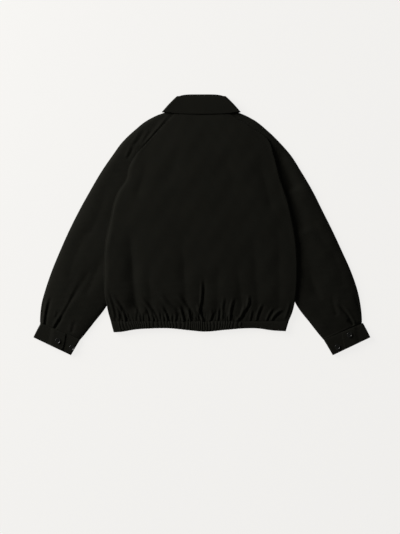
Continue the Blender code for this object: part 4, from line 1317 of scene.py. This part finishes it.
class JACKET_OT_cuffs(bpy.types.Operator):
    """Wind the cuffs round the wrists, lapped and topstitched"""

    bl_idname = "jacket.cuffs"
    bl_label = "Cuffs"

    def execute(self, context):
        wall = sizes().band_wall
        for side in SIDES:
            points = cuff_points(side)
            cuff = cloth_piece(f"cuff_{side}_band", points, wall, f"cuff_{side}")
            last = points.shape[1] - 1
            end = last - CUFF_STITCH_INSET_COLUMNS
            columns = np.linspace(last - CUFF_TOP_COLUMNS + 2, end, CUFF_STITCH_PLACES["along"])
            low, high = (share * (CUFF_ROWS - 1) for share in CUFF_STITCH_ROWS)
            rows = np.linspace(low, high, CUFF_STITCH_PLACES["across"])
            lines = [stitch_line(points, low, columns, 0.0), stitch_line(points, high, columns, 0.0),
                     stitch_line(points, rows, end, 0.0)]
            raised = [(line + upward(normal) * wall / 2, upward(normal)) for line, normal in lines]
            joined_stitches(f"cuff_{side}_topstitching", raised)
        return {"FINISHED"}


def upward(normal):
    """The normals turned so that each points up."""
    return normal * np.where(normal[:, 2:] < 0, -1.0, 1.0)


class JACKET_OT_buttons(bpy.types.Operator):
    """Sew four four-hole buttons on the cuffs"""

    bl_idname = "jacket.buttons"
    bl_label = "Buttons"

    def execute(self, context):
        form = drilled_button()
        lapped = sizes().band_wall + CUFF_LAP_GAP
        for side in SIDES:
            for number, (x, y, on_lap) in enumerate(BUTTONS[side], start=1):
                base = CUFF_HEIGHT + SEAM_GAP + (lapped if on_lap else 0.0)
                turn = 0.5 + number + SIDES[side]
                mesh = form.copy()
                mesh.transform(move_to(x, y, base, turn))
                button = bpy.data.objects.new(f"button_{side}_{number}", mesh)
                bpy.context.scene.collection.objects.link(button)
                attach(button, JACKET_BODY)
                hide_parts(f"cuff_button_{side}_{number}")
                sew_button(f"button_{side}_{number}_thread", x, y, base, turn)
        bpy.data.meshes.remove(form)
        return {"FINISHED"}


def move_to(x, y, z, turn):
    """A matrix that turns about the upright axis and then moves."""
    return Matrix.Translation((x, y, z)) @ Matrix.Rotation(turn, 4, "Z")


BUTTON_HOLE_RADIUS = 0.95 * MM
BUTTON_HOLE_OFFSET = 1.55 * MM
BUTTON_HOLE_SIDES = 14
BUTTON_THREAD_RADIUS = 0.22 * MM


def drilled_button():
    """The button's mesh: a turned disc with a round rim and a dished middle, drilled four times."""
    radius, height = sizes().button_radius, sizes().button_thickness
    share = np.array([0.0, 0.55, 0.86, 0.97, 1.0, 0.985, 0.94, 0.87, 0.80, 0.74, 0.66, 0.5, 0.3, 0.0])
    level = np.array([0.0, 0.0, 0.06, 0.25, 0.52, 0.80, 0.95, 1.0, 0.96, 0.82, 0.68, 0.60, 0.57, 0.56])
    points = round_table(share * radius, level * height, sizes().button_sides)
    rows, columns = points.shape[:2]
    index = np.arange(rows * columns).reshape(rows, columns)
    index[:, -1] = index[:, 0]
    index[0], index[-1] = index[0, 0], index[-1, 0]
    used, welded = np.unique(index, return_inverse=True)
    faces = [list(dict.fromkeys(face)) for face in quads(welded.reshape(rows, columns)).tolist()]
    disc = mesh_object("button_form", points.reshape(-1, 3)[used], [f[::-1] for f in faces if len(f) > 2])
    disc.data.materials.append(button_material())
    drill = mesh_object("button_drill", *drill_points(height))
    cut = disc.modifiers.new("holes", "BOOLEAN")
    cut.object = drill
    cut.operation = "DIFFERENCE"
    done = bpy.data.meshes.new_from_object(disc.evaluated_get(bpy.context.evaluated_depsgraph_get()))
    done.name = "four_hole_button"
    done.set_sharp_from_angle(angle=math.radians(50))
    for used_up in (disc, drill):
        bpy.data.objects.remove(used_up)
    return done


def mesh_object(name, vertices, faces):
    """A plain object from vertices and faces of any number of sides."""
    mesh = bpy.data.meshes.new(name)
    mesh.from_pydata([tuple(v) for v in vertices], [], faces)
    mesh.shade_smooth()
    made = bpy.data.objects.new(name, mesh)
    bpy.context.scene.collection.objects.link(made)
    return made


def drill_points(height):
    """Four upright prisms at the corners of a square, longer than the button is thick."""
    sides = BUTTON_HOLE_SIDES
    angle = ring_angles(sides)
    vertices, faces = [], []
    for cx, cy in ((-1, -1), (1, -1), (1, 1), (-1, 1)):
        start = len(vertices)
        for z in (-height, 2 * height):
            vertices += [(cx * BUTTON_HOLE_OFFSET + BUTTON_HOLE_RADIUS * math.cos(a),
                          cy * BUTTON_HOLE_OFFSET + BUTTON_HOLE_RADIUS * math.sin(a), z) for a in angle]
        faces += [[start + i, start + (i + 1) % sides, start + sides + (i + 1) % sides, start + sides + i]
                  for i in range(sides)]
        faces += [[start + i for i in range(sides)][::-1], [start + sides + i for i in range(sides)]]
    return vertices, faces


def sew_button(name, x, y, base, turn):
    """Two bars of thread, each of three strands, that cross the button's middle between its holes."""
    level = base + sizes().button_thickness * 0.62
    lines = []
    for row in (-1, 1):
        for strand in (-0.34, 0.0, 0.34):
            ends = np.linspace(-1.0, 1.0, 15)[:, None]
            local = np.hstack([ends * (BUTTON_HOLE_OFFSET + 0.2 * MM),
                               np.full_like(ends, row * BUTTON_HOLE_OFFSET + strand * MM),
                               (1.0 - ends**4) * 0.45 * MM - 0.6 * MM * ends**8])
            c, s = math.cos(turn), math.sin(turn)
            turned = np.hstack([local[:, :1] * c - local[:, 1:2] * s, local[:, :1] * s + local[:, 1:2] * c,
                                local[:, 2:]])
            lines.append(turned + np.array([x, y, level]))
    vertices, faces = tubes(lines, BUTTON_THREAD_RADIUS, 6)
    made = finished(name, vertices, faces, thread_material())


def tubes(lines, radius, sides):
    """Round tubes along lines of points: at each point a ring across the line's direction."""
    angle = ring_angles(sides)
    vertices, faces, start = [], [], 0
    for line in lines:
        along = np.gradient(line, axis=0)
        along /= np.linalg.norm(along, axis=1, keepdims=True)
        side = np.cross(along, [0.0, 0.0, 1.0])
        side /= np.maximum(np.linalg.norm(side, axis=1, keepdims=True), 1e-9)
        up = np.cross(side, along)
        ring = (line[:, None, :] + radius * (side[:, None, :] * np.cos(angle)[None, :, None]
                                             + up[:, None, :] * np.sin(angle)[None, :, None]))
        index = start + np.arange(len(line) * sides).reshape(len(line), sides)
        index = np.hstack([index, index[:, :1]])
        vertices.append(ring.reshape(-1, 3))
        faces.append(quads(index)[:, ::-1])
        start += len(line) * sides
    return np.concatenate(vertices), np.concatenate(faces)


class JACKET_OT_zip(bpy.types.Operator):
    """Close the front with zip tapes and teeth, and finish the slider and pull tab in metal"""

    bl_idname = "jacket.zip"
    bl_label = "Zip"

    def execute(self, context):
        for side, sign in SIDES.items():
            made = shell(f"zip_{side}_tape", tape_points(side), TAPE_WALL, tape_material())
            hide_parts(f"zip_{side}")
            teeth = finished(f"zip_{side}_teeth", *zip_teeth(sign), metal_material())
        for node in ("zip_slider", "zip_pull_tab"):
            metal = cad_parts[node]
            metal.data.materials.clear()
            metal.data.materials.append(metal_material())
        return {"FINISHED"}


def zip_teeth(sign):
    """A row of teeth on one tape: blocks that narrow to a nose, set half a pitch off the other row."""
    pitch = sizes().tooth_pitch
    y = np.arange(ZIP_BOTTOM_Y + 4 * MM, ZIP_STOP_Y, pitch) + (pitch / 2 if sign > 0 else 0.0)
    reach = np.array([-1.5, 0.6, 1.6, 2.6]) * MM
    half_y = np.array([0.42, 0.52, 0.52, 0.40]) * pitch / 1.15 * 0.9
    half_z = np.array([0.65, 1.0, 1.05, 0.8]) * MM
    ring = np.array([(-1, -1), (1, -1), (1, 1), (-1, 1)])
    local = np.concatenate([np.column_stack([np.full(4, r), ring[:, 0] * hy, ring[:, 1] * hz])
                            for r, hy, hz in zip(reach, half_y, half_z)])
    rise = zip_tent(np.zeros_like(y), y) + hem_step(y)
    centre = np.column_stack([np.zeros_like(y), y, CHAIN_MIDDLE_Z + rise])
    vertices = centre[:, None, :] + local[None] * np.array([sign, 1.0, 1.0])
    index = np.arange(16).reshape(4, 4)
    faces = quads(np.hstack([index, index[:, :1]]))
    caps = np.array([index[0][::-1], index[-1]])
    faces = np.concatenate([faces[:, ::-1], caps])
    if sign < 0:
        faces = faces[:, ::-1]
    faces = faces[None] + (np.arange(len(y)) * 16)[:, None, None]
    return vertices.reshape(-1, 3), faces.reshape(-1, 4)


class JACKET_OT_stage(bpy.types.Operator):
    """Set up the pale floor, the soft lights and the camera straight above"""

    bl_idname = "jacket.stage"
    bl_label = "Stage"

    def execute(self, context):
        scene = context.scene
        scene.view_settings.view_transform = "Standard"
        scene.view_settings.look = "None"
        scene.view_settings.exposure = 0.0
        scene.view_settings.gamma = 1.0
        lay_floor()
        hang_lights(scene)
        place_camera(scene)
        return {"FINISHED"}


FLOOR_HALF = 6.0
FLOOR_Z = -0.3 * MM
FLOOR_GLOW_COLOUR = (1.0, 0.990, 0.972, 1.0)
SURROUND_COLOUR = (1.0, 0.995, 0.985, 1.0)
BACKDROP_COLOUR = (0.88, 0.875, 0.86, 1.0)
KEY_COLOUR = (1.0, 0.985, 0.95)
KEY_PLACE = Vector((-3.1, 1.75, 1.5))
KEY_AIM = Vector((0.0, -0.02, 0.0))


def lay_floor():
    """A wide pale floor just under the cloth, faintly uneven in tone, that glows so that shadows on it
    stay faint."""
    made, net, shader = new_material("studio_floor")
    place = net.add("ShaderNodeTexCoord").outputs["Object"]
    tone = net.spread(net.noise(place, 3.0, 2.0), 0.3, 0.7, 0.0, 1.0)
    pale = tuple(studio().floor_colour)
    dim = tuple(part * 0.99 for part in pale[:3]) + (1.0,)
    net.feed(shader["Base Color"], net.mix(tone, dim, pale))
    net.feed(shader["Roughness"], 0.95)
    net.feed(shader["Specular IOR Level"], 0.0)
    net.feed(shader["Emission Color"], FLOOR_GLOW_COLOUR)
    net.feed(shader["Emission Strength"], studio().floor_glow)
    corners = [(x * FLOOR_HALF, y * FLOOR_HALF, FLOOR_Z) for x, y in ((-1, -1), (1, -1), (1, 1), (-1, 1))]
    floor = mesh_object("floor", corners, [[0, 1, 2, 3]])
    floor.data.materials.append(made)


def hang_lights(scene):
    """An even surround, pale beyond the floor's edge, and one soft key at the upper left that rakes
    across the cloth."""
    world = bpy.data.worlds.new("studio_surround")
    world.use_nodes = True
    net = Net(world.node_tree)
    surround = world.node_tree.nodes["Background"]
    net.feed(surround.inputs["Color"], SURROUND_COLOUR)
    net.feed(surround.inputs["Strength"], studio().surround)
    wall = net.add("ShaderNodeBackground", Color=BACKDROP_COLOUR, Strength=1.0)
    seen = net.add("ShaderNodeMixShader", Fac=net.add("ShaderNodeLightPath").outputs["Is Camera Ray"])
    net.tree.links.new(surround.outputs[0], seen.inputs[1])
    net.tree.links.new(wall.outputs[0], seen.inputs[2])
    net.tree.links.new(seen.outputs[0], world.node_tree.nodes["World Output"].inputs["Surface"])
    scene.world = world
    key = bpy.data.lights.new("key_light", "AREA")
    key.shape = "DISK"
    key.size = studio().key_size
    key.energy = studio().key_power
    key.color = KEY_COLOUR
    lamp = bpy.data.objects.new("key_light", key)
    scene.collection.objects.link(lamp)
    lamp.location = KEY_PLACE
    lamp.rotation_euler = (KEY_AIM - KEY_PLACE).to_track_quat("-Z", "Y").to_euler()


def place_camera(scene):
    """A long-lens camera straight above the floor point at the middle of the view."""
    camera = bpy.data.cameras.new("camera")
    camera.sensor_fit = "HORIZONTAL"
    camera.sensor_width = 36.0
    camera.lens = camera.sensor_width * studio().camera_height / studio().view_width
    camera.clip_end = 50.0
    stand = bpy.data.objects.new("camera", camera)
    stand.location = (studio().view_centre[0], studio().view_centre[1], studio().camera_height)
    scene.collection.objects.link(stand)
    scene.camera = stand


# ------------------------------------------------------------------- panel

PIECES = (JACKET_OT_back, JACKET_OT_fronts, JACKET_OT_sleeves, JACKET_OT_collar, JACKET_OT_hem,
          JACKET_OT_cuffs, JACKET_OT_buttons, JACKET_OT_zip, JACKET_OT_stage)
SETTINGS = {"jacket_sizes": JacketSizes, "jacket_colours": JacketColours, "jacket_studio": StudioSettings}


class JACKET_PT_panel(bpy.types.Panel):
    """Lists the jacket's settings and pieces in the sidebar"""

    bl_idname = "JACKET_PT_panel"
    bl_label = "Harrington Jacket"
    bl_space_type = "VIEW_3D"
    bl_region_type = "UI"
    bl_category = "Jacket"

    def draw(self, context):
        for holder, group in SETTINGS.items():
            box = self.layout.box()
            for name in group.__annotations__:
                box.prop(getattr(context.scene, holder), name)
        for piece in PIECES:
            self.layout.operator(piece.bl_idname)


CLASSES = (*SETTINGS.values(), *PIECES, JACKET_PT_panel)


def register():
    """Makes the settings, operators and panel known to Blender."""
    for kind in CLASSES:
        bpy.utils.register_class(kind)
    for holder, group in SETTINGS.items():
        setattr(bpy.types.Scene, holder, PointerProperty(type=group))


def unregister():
    """Takes back what register made known."""
    for holder in SETTINGS:
        delattr(bpy.types.Scene, holder)
    for kind in reversed(CLASSES):
        bpy.utils.unregister_class(kind)


def main():
    register()
    for piece in PIECES:
        getattr(bpy.ops.jacket, piece.bl_idname.split(".")[1])()


if __name__ == "__main__":
    main()
